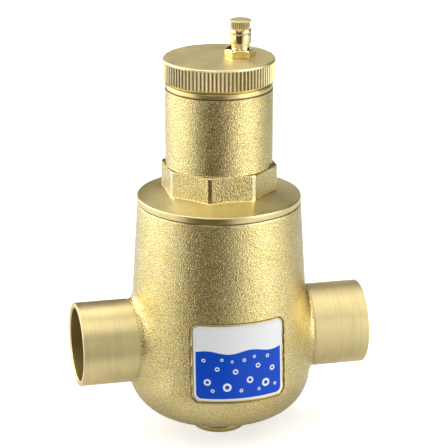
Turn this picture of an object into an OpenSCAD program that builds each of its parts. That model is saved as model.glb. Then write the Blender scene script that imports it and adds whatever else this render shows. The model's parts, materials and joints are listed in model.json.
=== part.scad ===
// In-line air separator with an automatic float air vent on top.
// +Z is up and X runs along the pipe. The origin is at the centre of the flat under the drain plug.

/* [Pipe sockets] */
// Height of the pipe axis above the base
pipe_z = 47.5; // [46:0.5:50]
// Distance between the faces of the two sockets
socket_span = 140; // [134:1:160]
// Outer radius of a socket
socket_r = 20; // [19.6:0.1:20.5]
// Bore radius of a socket, for 1-1/4 in copper tube
socket_bore_r = 17.52; // [17.5:0.01:17.6]
// Depth of a socket
socket_depth = 24.6; // [22:0.1:25]
// Radius of the waterway behind a socket
waterway_r = 15.9; // [14:0.1:16.5]

/* [Separator body] */
// Height of the body's rim above the pipe axis
rim_h = 66.9; // [64:0.1:70]
// Outer radius at the rim
rim_r = 38.9; // [38.5:0.1:39.5]
// Radius gained per millimetre down the tapered wall
barrel_taper = 0.0603; // [0.05:0.0001:0.065]
// Radius of the rounded lower corner
corner_r = 21.3; // [20.5:0.1:22]
// Depth of that corner's centre below the pipe axis
corner_drop = 17.1; // [16.5:0.1:18]
// Depth of the domed bottom below the pipe axis
barrel_drop = 42.4; // [42:0.1:43]
// Wall thickness
wall = 4; // [3.5:0.1:4.2]

/* [Label] */
// Width of the label plate across its chord
label_w = 42.5; // [36:0.5:44]
// Height of the label plate
label_h = 36; // [30:0.5:37]
// Corner radius of the label plate
label_corner_r = 3; // [1:0.5:4]
// Clear border between the label and its pocket
label_border = 1.6; // [0.8:0.1:2.5]
// Depth of the pocket
pocket_depth = 0.8; // [0.5:0.1:1.2]
// Thickness of the label plate
label_t = 0.4; // [0.2:0.1:0.6]

/* [Float chamber] */
// Height of the flange rim
flange_h = 3.4; // [3:0.1:4]
// Height of the octagon's foot above the pipe axis
octagon_foot_h = 74; // [73:0.1:75]
// Height of the octagon's top above the pipe axis
octagon_top_h = 85.9; // [83:0.1:90]
// Radius across the octagon's corners
octagon_r = 27.9; // [27.6:0.1:29]
// Outer radius of the float chamber
chamber_r = 25.35; // [25:0.05:25.6]
// Height of the chamber's mouth above the pipe axis
mouth_h = 125.2; // [122:0.1:128]
// Height of the bright turned band under the mouth
band_h = 2.5; // [1.5:0.1:4]
// Bore radius of the float chamber
chamber_bore_r = 21.5; // [21:0.1:21.6]

/* [Top cover] */
// Gap between the chamber's mouth and the knurled cover
cover_gap = 1.4; // [1:0.1:2]
// Height of the knurled cover
cover_h = 10.4; // [9:0.1:12]
// Radius over the tips of the knurl
knurl_r = 26.45; // [26:0.05:27]
// Depth of the knurl's grooves
knurl_depth = 0.55; // [0.3:0.05:0.8]
// Number of knurl teeth round the cover
knurl_teeth = 88; // [60:2:110]
// Pitch of the cover's thread
cover_pitch = 1.5; // [1:0.25:2]

/* [Vent nozzle and cap] */
// Distance of the nozzle from the chamber's axis
nozzle_x = 10.3; // [10:0.1:10.6]
// Width across the flats of the nozzle's hexagon
hex_af = 12.85; // [12:0.05:13.5]
// Turn of the hexagon when the nozzle is screwed tight, in degrees
hex_turn = -14; // [-30:1:30]
// Height of the hexagon
hex_h = 3.7; // [3:0.1:5]
// Radius of the neck
neck_r = 4.25; // [4:0.05:4.6]
// Height of the neck
neck_h = 2.4; // [1.5:0.1:4]
// Radius of the nozzle's upper barrel
nozzle_r = 5.1; // [4.8:0.05:5.4]
// Height of the nozzle's upper barrel
nozzle_h = 4.7; // [4:0.1:6]
// Radius of the vent cap's plain skirt
cap_skirt_r = 5.1; // [4.8:0.05:5.4]
// Height of the skirt
cap_skirt_h = 2.1; // [1.5:0.1:3]
// Radius over the cap's knurl
cap_knurl_r = 4.65; // [4.5:0.05:4.9]
// Height of the cap's knurl
cap_knurl_h = 3.7; // [3:0.1:5]
// Number of teeth in the cap's knurl
cap_teeth = 32; // [20:2:40]
// Radius of the cap's flared top disc
cap_disc_r = 5.25; // [5:0.05:5.6]
// Thickness of the top disc
cap_disc_h = 0.8; // [0.6:0.1:1.2]
// Pitch of the cap's thread
cap_pitch = 0.75; // [0.5:0.05:0.8]

/* [Float and valve] */
// Travel of the float between valve open and valve shut
float_travel = 6.5; // [5:0.5:7]
// Outer radius of the float
float_r = 19.3; // [18:0.1:19.8]
// Distance from the lever's pivot to the float's hook
float_arm = 23.5; // [22:0.5:24]
// Distance from the lever's pivot to the valve stem
stem_arm = 4.7; // [4.4:0.1:4.8]
// Radius of the float's guide pin
guide_r = 1.5; // [1.2:0.1:1.6]
// Radial clearance of running fits
running_gap = 0.07; // [0.04:0.01:0.1]

/* [Mesh element] */
// Radius of the element's outer mesh
mesh_r = 31; // [29:0.5:31]
// Number of radial mesh vanes
vane_count = 8; // [6:1:12]
// Number of upright wires in the outer mesh
upright_count = 24; // [16:2:32]
// Number of hoops in the outer mesh
hoop_count = 9; // [5:1:12]

/* [Drain plug] */
// Radius of the plug's head and of the boss that it closes
plug_r = 12.75; // [12.5:0.05:13]
// Thickness of the plug's head
plug_head_h = 2.7; // [2.5:0.1:3]
// Thread radius of the plug, G 1/2
plug_thread_r = 10.4; // [10:0.1:10.5]
// Width across the flats of its hexagon socket
key_af = 10; // [8:1:12]

/* [Hidden] */
$fn = 96;

cast_brass = [0.78, 0.68, 0.42];
turned_brass = [0.87, 0.78, 0.52];
steel = [0.72, 0.73, 0.74];
black_rubber = [0.10, 0.10, 0.11];
float_plastic = [0.90, 0.89, 0.84];
label_blue = [0.02, 0.25, 0.78];

// Edge breaks, joint gaps and reach of cutting solids
edge = 0.5;
touch_gap = 0.05;
reach = 1;
// Thread depth on the body, and clearance between the crests of a screwed pair
thread_depth = 0.7;
crest_gap = 0.1;

// Heights of the body
rim_z = pipe_z + rim_h;
floor_z = 11;
taper = atan(barrel_taper);
corner_x = (rim_r * cos(taper) + (rim_h + corner_drop) * sin(taper) - corner_r) / cos(taper);
dome_sink = barrel_drop - corner_drop;
dome_r = (corner_x * corner_x + dome_sink * dome_sink - corner_r * corner_r)
    / (2 * (dome_sink - corner_r));
corner_c = [corner_x, pipe_z - corner_drop];
dome_c = [0, pipe_z - barrel_drop + dome_r];
dome_join = atan2(corner_c[1] - dome_c[1], corner_c[0]);

// Screwed joint between the body and the float chamber
bonnet_bore_r = 35;
bonnet_skirt_h = 12;
bonnet_pitch = 2;
bonnet_turns = 5;
bonnet_skirt_bore_r = 30.5;
bonnet_ring_r = 36.9;
bonnet_ring_section = 0.9;

// Screwed joint between the body and the drain plug
plug_bore_r = plug_thread_r + crest_gap;
plug_thread_z = plug_head_h + 1.8;
plug_pitch = 1.8;
plug_ring_r = plug_thread_r + 0.7;
plug_ring_section = 0.4;

// Heights of the float chamber
octagon_foot_z = pipe_z + octagon_foot_h;
octagon_top_z = pipe_z + octagon_top_h;
mouth_z = pipe_z + mouth_h;
chamber_floor_z = rim_z + 5.6;
throat_r = 12;
throat_z = rim_z + 1.5;
band_groove = 0.45;

// Top cover
cover_z = mouth_z + cover_gap;
cover_top_z = cover_z + cover_h;
cover_thread_r = 21.9;
cover_thread_depth = 0.6;
cover_turns = 4;
spigot_z = mouth_z - 7.7;
cover_bore_r = 18.6;
ceiling_z = cover_top_z - 4;
hub_r = 24.6;
cover_ring_section = (cover_gap - 2 * touch_gap) / 2;
cover_ring_r = 23.3;
cover_bevel = 0.6;
fixing_depth = 2.5;
fixing_length = 2.2;

// Vent nozzle and cap
hex_r = hex_af / 2 / cos(30);
hex_bevel_r = hex_af / 2 - 0.125;
hex_top_z = cover_top_z + hex_h;
neck_top_z = hex_top_z + neck_h;
nozzle_top_z = neck_top_z + nozzle_h;
nozzle_thread_r = 5;
nozzle_bore_r = 1.2;
nozzle_tip_r = 3.4;
nozzle_tip_z = ceiling_z - 2.2;
seat_lip_h = 0.4;
seat_lip_r = 1.8;
stud_r = 3.5;
stud_h = 4.2;
stud_turns = 4;
stud_thread_depth = 0.35;
cap_z = nozzle_top_z + crest_gap;
cap_knurl_z = cap_z + cap_skirt_h;
cap_disc_z = cap_knurl_z + cap_knurl_h;
cap_top_z = cap_disc_z + cap_disc_h;
cap_knurl_depth = 0.3;
cap_bore_r = stud_r + 0.08;
washer_r = 3.4;
washer_t = 1;
washer_z = nozzle_top_z + stud_h + touch_gap;
nozzle_ring_r = 5.6;
nozzle_ring_section = 0.5;
nozzle_recess = 1.15;

// Float linkage
pivot_x = nozzle_x + stem_arm;
hook_x = pivot_x - float_arm;
tilt = asin(float_travel / 2 / float_arm);
stem_travel = float_travel * stem_arm / float_arm;
lever_t = 1.2;
lever_w = 8.8;
lever_nose_w = 3.8;
lever_slot_w = 4.4;
pivot_pin_r = 1;
pin_head_r = 1.6;
pin_clip_t = 0.6;
pivot_z = ceiling_z - 14.05;
lid_top_z = pivot_z - 8.95;
lid_t = 1.2;
float_wall = 1.2;
float_z = chamber_floor_z + 4;
float_tube_r = 2.8;
guide_bore_r = guide_r + running_gap;

// Valve stem
stem_r = 1.1;
stem_neck_r = 0.8;
stem_head_r = 2.6;
stem_head_t = 1;
seal_t = 1.2;
seal_top_z = nozzle_tip_z - touch_gap - stem_travel;
seal_z = seal_top_z - seal_t;
lever_slack = 0.35;
collar_z = pivot_z - stem_arm * sin(tilt) + lever_t / 2 + lever_slack;
collar_t = 0.8;
collar_r = 1.8;
clip_t = 0.5;
stem_tail = 0.2;
clip_z = collar_z - 2 * lever_slack - lever_t - clip_t;

// Linkage bracket
cheek_t = 1.2;
cheek_y = 4.6;
cheek_x = [6.5, 16.6];
cheek_drop = 1.85;
guide_plate_z = collar_z + collar_t + 5;
guide_plate_t = 1;
bracket_screw_x = -4;
bracket_screw_y = 3;
bracket_screw_r = 1.5;

// Valve spring
spring_wire_r = 0.2;
spring_r = 1.6;
spring_turns = 5;

// Mesh element
element_floor_z = floor_z + 5;
element_plate_t = 2;
element_top_z = rim_z - bonnet_skirt_h - crest_gap;
vane_t = 0.6;
vane_inner_r = 3.2;
vane_windows = [3, 8];
vane_bar = 1.2;
core_r = 2;
base_foot = [13, 16];
base_hole = [21.7, 4.5];
top_hole = [18.6, 6];
vane_setback = 1.4;

function on_arc(centre, r, angle) = [centre[0] + r * cos(angle), centre[1] + r * sin(angle)];
function arc_points(centre, r, from, to, steps) =
    [for (i = [0:steps]) on_arc(centre, r, from + (to - from) * i / steps)];

// Ring-shaped thread ridges, as outline points going up
function ridges(crest_r, root_r, pitch, z, turns) = [
    for (i = [0:turns - 1]) let (foot = z + i * pitch) each [
        [root_r, foot + pitch / 8], [crest_r, foot + pitch * 3 / 8],
        [crest_r, foot + pitch * 5 / 8], [root_r, foot + pitch * 7 / 8]
    ]
];

// The same ridges, as outline points going down
function ridges_down(crest_r, root_r, pitch, z, turns) =
    let (up = ridges(crest_r, root_r, pitch, z, turns)) [for (i = [len(up) - 1:-1:0]) up[i]];

// Star outline of a straight knurl
function knurl_points(tip_r, depth, teeth) = [
    for (i = [0:teeth - 1]) each [
        for (step = [[0, depth], [0.3, 0], [0.7, 0]])
            let (angle = 360 * (i + step[0]) / teeth) (tip_r - step[1]) * [cos(angle), sin(angle)]
    ]
];

module o_ring(ring_r, section_r, z) {
    color(black_rubber) translate([0, 0, z]) rotate_extrude()
        translate([ring_r, 0]) circle(r = section_r, $fn = 32);
}

module rounded_rect(w, h, r) {
    square([w - 2 * r, h], center = true);
    square([w, h - 2 * r], center = true);
    for (x = [-1, 1], y = [-1, 1]) translate([x * (w / 2 - r), y * (h / 2 - r)]) circle(r = r);
}

module along_pipe(r, from, to) {
    translate([from, 0, pipe_z]) rotate([0, 90, 0]) cylinder(r = r, h = to - from);
}

// Half outline of the barrel, moved inwards by inset
module barrel_outline(inset) {
    polygon(concat(
        [[0, rim_z], [rim_r - inset / cos(taper), rim_z]],
        arc_points(corner_c, corner_r - inset, taper, dome_join, 18),
        [for (i = [1:6]) on_arc(dome_c, dome_r - inset, dome_join + (-90 - dome_join) * i / 6)]
    ));
}

// A rounded rectangle on the front of the barrel, between two depths under its skin
module front_panel(w, h, r, outer_inset, inner_inset) {
    intersection() {
        translate([0, 0, pipe_z]) rotate([90, 0, 0]) linear_extrude(2 * rim_r) rounded_rect(w, h, r);
        rotate_extrude() difference() {
            barrel_outline(outer_inset);
            barrel_outline(inner_inset);
        }
    }
}

module socket_bore(side) {
    mirror([side < 0 ? 1 : 0, 0, 0]) {
        along_pipe(socket_bore_r, socket_span / 2 - socket_depth, socket_span / 2 + reach);
        translate([socket_span / 2 - edge, 0, pipe_z]) rotate([0, 90, 0])
            cylinder(r1 = socket_bore_r, r2 = socket_bore_r + edge + reach, h = edge + reach);
    }
}

module separator_body() {
    color(cast_brass) difference() {
        union() {
            rotate_extrude() barrel_outline(0);
            along_pipe(socket_r, -socket_span / 2 + edge, socket_span / 2 - edge);
            for (side = [-1, 1]) translate([side * (socket_span / 2 - edge), 0, pipe_z])
                rotate([0, side * 90, 0]) cylinder(r1 = socket_r, r2 = socket_r - edge, h = edge);
            translate([0, 0, plug_head_h]) cylinder(r = plug_r, h = floor_z - plug_head_h);
        }
        rotate_extrude() intersection() {
            barrel_outline(wall);
            translate([0, floor_z]) square([2 * rim_r, rim_h + pipe_z]);
        }
        along_pipe(waterway_r, -socket_span / 2 + edge, socket_span / 2 - edge);
        for (side = [-1, 1]) socket_bore(side);
        rotate_extrude() polygon(concat(
            [[0, rim_z + reach], [0, rim_z - bonnet_skirt_h], [bonnet_bore_r, rim_z - bonnet_skirt_h]],
            ridges(bonnet_bore_r, bonnet_bore_r + thread_depth, bonnet_pitch,
                rim_z - bonnet_skirt_h, bonnet_turns),
            [[bonnet_bore_r, rim_z - edge], [bonnet_bore_r, rim_z + reach]]
        ));
        rotate_extrude() polygon(concat(
            [[0, floor_z + reach], [0, plug_head_h - reach], [plug_bore_r, plug_head_h - reach]],
            ridges(plug_bore_r, plug_bore_r + thread_depth / 2, plug_pitch, plug_thread_z, 3),
            [[plug_bore_r, floor_z + reach]]
        ));
        translate([0, 0, plug_head_h - reach])
            cylinder(r = plug_ring_r + 2 * plug_ring_section, h = 2 * plug_ring_section + reach);
        front_panel(label_w + 2 * label_border, label_h + 2 * label_border,
            label_corner_r + label_border, -reach, pocket_depth);
    }
}

module label_plate() {
    color(label_blue)
        front_panel(label_w, label_h, label_corner_r, pocket_depth - label_t, pocket_depth);
}

module drain_plug() {
    head_round = 1.4;
    key_depth = 5;
    shank_top_z = floor_z - 0.6;
    root_r = plug_thread_r - thread_depth / 2;
    color(cast_brass) difference() {
        rotate_extrude() polygon(concat(
            [[0, 0]],
            arc_points([plug_r - head_round, head_round], head_round, -90, 0, 6),
            [[plug_r, plug_head_h], [root_r, plug_head_h]],
            ridges(plug_thread_r, root_r, plug_pitch, plug_thread_z, 2),
            [[root_r - thread_depth / 2, shank_top_z], [0, shank_top_z]]
        ));
        translate([0, 0, -reach]) cylinder(r = key_af / 2 / cos(30), h = key_depth + reach, $fn = 6);
    }
}

module drain_plug_o_ring() {
    o_ring(plug_ring_r, plug_ring_section, plug_head_h + plug_ring_section);
}

module element_base() {
    color(steel) difference() {
        rotate_extrude() {
            translate([core_r + touch_gap, element_floor_z]) square([mesh_r - core_r, element_plate_t]);
            translate([base_foot[0], floor_z])
                square([base_foot[1] - base_foot[0], element_floor_z - floor_z + edge]);
        }
        for (i = [0:vane_count - 1]) rotate([0, 0, 360 * (i + 0.5) / vane_count])
            translate([base_hole[0], 0, element_floor_z - reach])
                cylinder(r = base_hole[1], h = element_plate_t + 2 * reach);
    }
}

module element_core_rod() {
    color(steel) translate([0, 0, element_floor_z])
        cylinder(r = core_r, h = element_top_z - element_floor_z);
}

module element_vanes() {
    height = element_top_z - element_floor_z - 2 * element_plate_t - 2 * touch_gap;
    width = mesh_r - vane_setback - vane_inner_r;
    cell = [(width - vane_bar) / vane_windows[0], (height - vane_bar) / vane_windows[1]];
    color(steel) for (i = [0:vane_count - 1]) rotate([90, 0, 360 * i / vane_count])
        translate([vane_inner_r, element_floor_z + element_plate_t + touch_gap, -vane_t / 2])
            linear_extrude(vane_t) difference() {
                square([width, height]);
                for (column = [0:vane_windows[0] - 1], row = [0:vane_windows[1] - 1])
                    translate([vane_bar + column * cell[0], vane_bar + row * cell[1]])
                        square([cell[0] - vane_bar, cell[1] - vane_bar]);
            }
}

module element_outer_mesh() {
    foot_z = element_floor_z + element_plate_t + touch_gap;
    height = element_top_z - element_plate_t - touch_gap - foot_z;
    hoop = [0.9, 1.4];
    wire = [0.5, 0.9];
    color(steel) {
        for (i = [0:hoop_count - 1])
            translate([0, 0, foot_z + i * (height - hoop[1]) / (hoop_count - 1)]) rotate_extrude()
                translate([mesh_r - hoop[0], 0]) square(hoop);
        for (i = [0:upright_count - 1]) rotate([0, 0, 360 * i / upright_count])
            translate([mesh_r - (hoop[0] + wire[0]) / 2, -wire[1] / 2, foot_z + edge])
                cube([wire[0], wire[1], height - 2 * edge]);
    }
}

module element_top_plate() {
    plate_r = bonnet_bore_r - 1.5;
    color(steel) translate([0, 0, element_top_z - element_plate_t]) difference() {
        cylinder(r = plate_r, h = element_plate_t);
        translate([0, 0, -reach]) cylinder(r = core_r + touch_gap, h = element_plate_t + 2 * reach);
        for (i = [0:vane_count - 1]) rotate([0, 0, 360 * (i + 0.5) / vane_count])
            translate([top_hole[0], 0, -reach])
                cylinder(r = top_hole[1], h = element_plate_t + 2 * reach);
    }
}

module float_chamber() {
    thread_r = bonnet_bore_r - crest_gap;
    root_r = thread_r - thread_depth;
    skirt_z = rim_z - bonnet_skirt_h;
    thread_z = spigot_z - 1.5;
    bore_thread_r = cover_thread_r + crest_gap;
    color(cast_brass) difference() {
        union() {
            rotate_extrude() polygon(concat(
                [[0, skirt_z], [root_r, skirt_z]],
                ridges(thread_r, root_r, bonnet_pitch, skirt_z, bonnet_turns),
                [
                    [root_r, rim_z], [rim_r - edge / 2, rim_z], [rim_r, rim_z + edge / 2],
                    [rim_r, rim_z + flange_h - edge], [rim_r - edge, rim_z + flange_h],
                    [octagon_r * cos(22.5), octagon_foot_z], [chamber_r, octagon_foot_z],
                    [chamber_r, mouth_z - band_h - band_groove],
                    [chamber_r - band_groove, mouth_z - band_h],
                    [chamber_r - band_groove / 3, mouth_z - band_h + band_groove],
                    [chamber_r - band_groove / 3, mouth_z - edge],
                    [chamber_r - edge, mouth_z], [0, mouth_z]
                ]
            ));
            translate([0, 0, rim_z + flange_h]) rotate([0, 0, 22.5])
                cylinder(r = octagon_r, h = octagon_top_z - rim_z - flange_h, $fn = 8);
        }
        rotate_extrude() polygon(concat(
            [
                [0, skirt_z - reach], [bonnet_skirt_bore_r, skirt_z - reach],
                [bonnet_skirt_bore_r, rim_z - 5], [throat_r, throat_z], [throat_r, chamber_floor_z],
                [chamber_bore_r, chamber_floor_z], [chamber_bore_r, thread_z - edge],
                [bore_thread_r, thread_z]
            ],
            ridges(bore_thread_r, bore_thread_r + cover_thread_depth, cover_pitch, thread_z, 5),
            [[bore_thread_r, mouth_z + reach], [0, mouth_z + reach]]
        ));
        rotate_extrude() translate([bonnet_ring_r - bonnet_ring_section - touch_gap, rim_z - reach])
            square([2 * (bonnet_ring_section + touch_gap), reach + 2 * bonnet_ring_section]);
    }
}

module bonnet_o_ring() {
    o_ring(bonnet_ring_r, bonnet_ring_section - touch_gap, rim_z + bonnet_ring_section);
}

module top_cover() {
    root_r = cover_thread_r - cover_thread_depth;
    // face groove in the hub, in which the cover's sealing ring sits
    groove_in_r = cover_ring_r - cover_ring_section - touch_gap;
    groove_out_r = cover_ring_r + cover_ring_section + touch_gap;
    color(turned_brass) difference() {
        union() {
            translate([0, 0, cover_z]) linear_extrude(cover_h - cover_bevel)
                polygon(knurl_points(knurl_r, knurl_depth, knurl_teeth));
            translate([0, 0, cover_top_z - cover_bevel])
                cylinder(r1 = knurl_r - knurl_depth / 2, r2 = knurl_r - knurl_depth / 2 - cover_bevel,
                    h = cover_bevel);
            rotate_extrude() polygon(concat(
                [[0, spigot_z], [root_r, spigot_z]],
                ridges(cover_thread_r, root_r, cover_pitch, spigot_z, cover_turns),
                [
                    [root_r, mouth_z + touch_gap], [groove_in_r, mouth_z + touch_gap],
                    [groove_in_r, cover_z], [groove_out_r, cover_z], [groove_out_r, mouth_z + touch_gap],
                    [hub_r, mouth_z + touch_gap], [hub_r, cover_z + reach], [0, cover_z + reach]
                ]
            ));
        }
        translate([0, 0, spigot_z - reach]) cylinder(r = cover_bore_r, h = ceiling_z - spigot_z + reach);
        translate([nozzle_x, 0, ceiling_z - reach])
            cylinder(r = nozzle_thread_r + touch_gap, h = cover_top_z - ceiling_z + 2 * reach);
        translate([nozzle_x, 0, cover_top_z - nozzle_recess])
            cylinder(r = nozzle_ring_r + nozzle_ring_section + touch_gap, h = nozzle_recess + reach);
        translate([0, 0, ceiling_z - reach]) cylinder(r = guide_r + touch_gap, h = fixing_depth + reach);
        for (side = [-1, 1]) translate([bracket_screw_x, side * bracket_screw_y, ceiling_z - reach])
            cylinder(r = bracket_screw_r + touch_gap, h = fixing_depth + reach);
    }
}

module cover_o_ring() {
    o_ring(cover_ring_r, cover_ring_section, mouth_z + cover_gap / 2);
}

module vent_nozzle() {
    stud_root_r = stud_r - stud_thread_depth;
    color(turned_brass) translate([nozzle_x, 0, 0]) difference() {
        union() {
            rotate_extrude() polygon(concat(
                [
                    [0, nozzle_tip_z], [seat_lip_r, nozzle_tip_z], [seat_lip_r, nozzle_tip_z + seat_lip_h],
                    [nozzle_tip_r, nozzle_tip_z + seat_lip_h], [nozzle_tip_r, ceiling_z],
                    [nozzle_thread_r, ceiling_z], [nozzle_thread_r, hex_top_z - reach],
                    [neck_r, hex_top_z - reach], [neck_r, neck_top_z], [nozzle_r - edge / 2, neck_top_z],
                    [nozzle_r, neck_top_z + edge / 2], [nozzle_r, nozzle_top_z - edge / 2],
                    [nozzle_r - edge / 2, nozzle_top_z], [stud_root_r, nozzle_top_z]
                ],
                ridges(stud_r, stud_root_r, cap_pitch, nozzle_top_z + edge, stud_turns),
                [[stud_root_r, nozzle_top_z + stud_h], [0, nozzle_top_z + stud_h]]
            ));
            intersection() {
                translate([0, 0, cover_top_z]) rotate([0, 0, hex_turn])
                    cylinder(r = hex_r, h = hex_h, $fn = 6);
                translate([0, 0, cover_top_z - reach]) cylinder(
                    r1 = hex_bevel_r + hex_h + reach + edge, r2 = hex_bevel_r,
                    h = hex_h + reach);
            }
        }
        translate([0, 0, nozzle_tip_z - reach])
            cylinder(r = nozzle_bore_r, h = nozzle_top_z + stud_h - nozzle_tip_z + 2 * reach);
    }
}

module nozzle_o_ring() {
    translate([nozzle_x, 0, 0])
        o_ring(nozzle_ring_r, nozzle_ring_section, cover_top_z - nozzle_recess / 2);
}

module vent_cap() {
    ceiling = washer_z + washer_t + touch_gap;
    groove_r = cap_bore_r + stud_thread_depth;
    color(turned_brass) translate([nozzle_x, 0, 0]) difference() {
        union() {
            rotate_extrude() polygon([
                [0, cap_z], [cap_skirt_r - edge / 2, cap_z], [cap_skirt_r, cap_z + edge / 2],
                [cap_skirt_r, cap_knurl_z - edge / 2], [cap_knurl_r + edge / 4, cap_knurl_z],
                [0, cap_knurl_z]
            ]);
            translate([0, 0, cap_knurl_z]) linear_extrude(cap_knurl_h)
                polygon(knurl_points(cap_knurl_r, cap_knurl_depth, cap_teeth));
            rotate_extrude() polygon([
                [0, cap_disc_z], [cap_disc_r - edge / 2, cap_disc_z],
                [cap_disc_r, cap_disc_z + edge / 2], [cap_disc_r - edge / 2, cap_top_z], [0, cap_top_z]
            ]);
        }
        rotate_extrude() polygon(concat(
            [[0, cap_z - reach], [cap_bore_r, cap_z - reach]],
            ridges(cap_bore_r, groove_r, cap_pitch, cap_z + edge, 4),
            [[cap_bore_r, ceiling], [0, ceiling]]
        ));
    }
}

module vent_cap_washer() {
    color(black_rubber) translate([nozzle_x, 0, washer_z]) cylinder(r = washer_r, h = washer_t);
}

module linkage_bracket() {
    plate_x = [-7, cheek_x[1]];
    cheek_foot_z = pivot_z - cheek_drop;
    outer_y = cheek_y + cheek_t;
    color(steel) difference() {
        union() {
            translate([plate_x[0], -outer_y, ceiling_z - cheek_t])
                cube([plate_x[1] - plate_x[0], 2 * outer_y, cheek_t]);
            for (side = [-1, 1])
                translate([cheek_x[0], side * (cheek_y + cheek_t / 2) - cheek_t / 2, cheek_foot_z])
                    cube([cheek_x[1] - cheek_x[0], cheek_t, ceiling_z - cheek_foot_z]);
            translate([cheek_x[0], -outer_y, guide_plate_z])
                cube([2 * (nozzle_x - cheek_x[0]), 2 * outer_y, guide_plate_t]);
        }
        translate([nozzle_x, 0, ceiling_z - cheek_t - reach])
            cylinder(r = nozzle_tip_r + touch_gap, h = cheek_t + 2 * reach);
        translate([nozzle_x, 0, guide_plate_z - reach])
            cylinder(r = stem_r + running_gap, h = guide_plate_t + 2 * reach);
        translate([0, 0, ceiling_z - cheek_t - reach])
            cylinder(r = guide_r + touch_gap, h = cheek_t + 2 * reach);
        for (side = [-1, 1])
            translate([bracket_screw_x, side * bracket_screw_y, ceiling_z - cheek_t - reach])
                cylinder(r = bracket_screw_r + touch_gap, h = cheek_t + 2 * reach);
        translate([pivot_x, outer_y + reach, pivot_z]) rotate([90, 0, 0])
            cylinder(r = pivot_pin_r + touch_gap / 2, h = 2 * (outer_y + reach));
    }
}

module bracket_screws() {
    head = [2.6, 1.6];
    key = [1.4, 0.9];
    color(steel) for (side = [-1, 1]) translate([bracket_screw_x, side * bracket_screw_y, 0]) {
        translate([0, 0, ceiling_z - cheek_t])
            cylinder(r = bracket_screw_r, h = cheek_t + fixing_length);
        translate([0, 0, ceiling_z - cheek_t - head[1]]) difference() {
            cylinder(r = head[0], h = head[1]);
            translate([0, 0, -reach]) cylinder(r = key[0], h = key[1] + reach, $fn = 6);
        }
    }
}

module lever_pin() {
    head_t = 0.8;
    tail = 1.2;
    outer_y = cheek_y + cheek_t;
    color(steel) translate([pivot_x, outer_y + touch_gap, pivot_z]) rotate([90, 0, 0]) {
        cylinder(r = pivot_pin_r, h = 2 * outer_y + tail);
        translate([0, 0, -head_t]) cylinder(r = pin_head_r, h = head_t);
    }
}

module lever_pin_clip() {
    color(steel) translate([pivot_x, -(cheek_y + cheek_t) - touch_gap, pivot_z]) rotate([90, 0, 0])
        difference() {
            cylinder(r = pin_head_r, h = pin_clip_t);
            translate([0, 0, -reach]) cylinder(r = pivot_pin_r, h = pin_clip_t + 2 * reach);
        }
}

module float_guide_pin() {
    foot_z = float_z - 1.5;
    color(turned_brass) translate([0, 0, foot_z])
        cylinder(r = guide_r, h = ceiling_z + fixing_length - foot_z);
}

module float_lever() {
    knuckle_r = 1.9;
    nose = 1.5;
    fork_end = float_arm - 3;
    stem_slot_r = stem_neck_r + 0.6;
    guide_slot = 6;
    color(steel) translate([pivot_x, 0, pivot_z]) rotate([0, -tilt, 0]) difference() {
        union() {
            translate([-fork_end, -lever_w / 2, -lever_t / 2]) cube([fork_end, lever_w, lever_t]);
            translate([-float_arm - nose, -lever_nose_w / 2, -lever_t / 2])
                cube([float_arm - fork_end + nose + edge, lever_nose_w, lever_t]);
            rotate([90, 0, 0]) cylinder(r = knuckle_r, h = lever_w, center = true);
        }
        rotate([90, 0, 0]) cylinder(r = pivot_pin_r + running_gap, h = lever_w + 2 * reach, center = true);
        translate([-stem_arm, 0, -lever_t]) cylinder(r = stem_slot_r, h = 2 * lever_t);
        translate([-pivot_x - guide_slot / 2, -lever_slot_w / 2, -lever_t])
            cube([guide_slot, lever_slot_w, 2 * lever_t]);
    }
}

module valve_stem() {
    neck_foot_z = clip_z - stem_tail;
    head_z = seal_z - stem_head_t;
    color(turned_brass) translate([nozzle_x, 0, 0]) rotate_extrude() polygon([
        [0, neck_foot_z], [stem_neck_r, neck_foot_z], [stem_neck_r, collar_z], [collar_r, collar_z],
        [collar_r, collar_z + collar_t], [stem_r, collar_z + collar_t], [stem_r, head_z],
        [stem_head_r, head_z], [stem_head_r, seal_z], [0, seal_z]
    ]);
}

module stem_seal() {
    color(black_rubber) translate([nozzle_x, 0, seal_z]) cylinder(r = stem_head_r, h = seal_t);
}

module stem_clip() {
    color(steel) translate([nozzle_x, 0, clip_z]) difference() {
        cylinder(r = collar_r, h = clip_t);
        translate([0, 0, -reach]) cylinder(r = stem_neck_r, h = clip_t + 2 * reach);
    }
}

// Coil spring: rings of points swept along a helix
module valve_spring() {
    sides = 8;
    steps = 16 * spring_turns;
    foot_z = collar_z + collar_t + touch_gap + spring_wire_r;
    rise = guide_plate_z - touch_gap - spring_wire_r - foot_z;
    points = [
        for (i = [0:steps], k = [0:sides - 1])
            let (turn = 360 * spring_turns * i / steps, around = 360 * k / sides,
                r = spring_r + spring_wire_r * cos(around))
            [nozzle_x + r * cos(turn), r * sin(turn),
                foot_z + rise * i / steps + spring_wire_r * sin(around)]
    ];
    walls = [
        for (i = [0:steps - 1], k = [0:sides - 1])
            let (a = i * sides + k, b = i * sides + (k + 1) % sides)
            [a, a + sides, b + sides, b]
    ];
    ends = [[for (k = [0:sides - 1]) k], [for (k = [sides - 1:-1:0]) steps * sides + k]];
    color(steel) polyhedron(points = points, faces = concat(walls, ends));
}

module float_shell() {
    bevel = 2;
    shell_top_z = lid_top_z - lid_t;
    color(float_plastic) rotate_extrude() polygon([
        [guide_bore_r, float_z], [float_r - bevel, float_z], [float_r, float_z + bevel],
        [float_r, shell_top_z], [float_r - float_wall, shell_top_z],
        [float_r - float_wall, float_z + bevel + float_wall],
        [float_r - bevel - float_wall, float_z + float_wall], [float_tube_r, float_z + float_wall],
        [float_tube_r, lid_top_z], [guide_bore_r, lid_top_z]
    ]);
}

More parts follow.
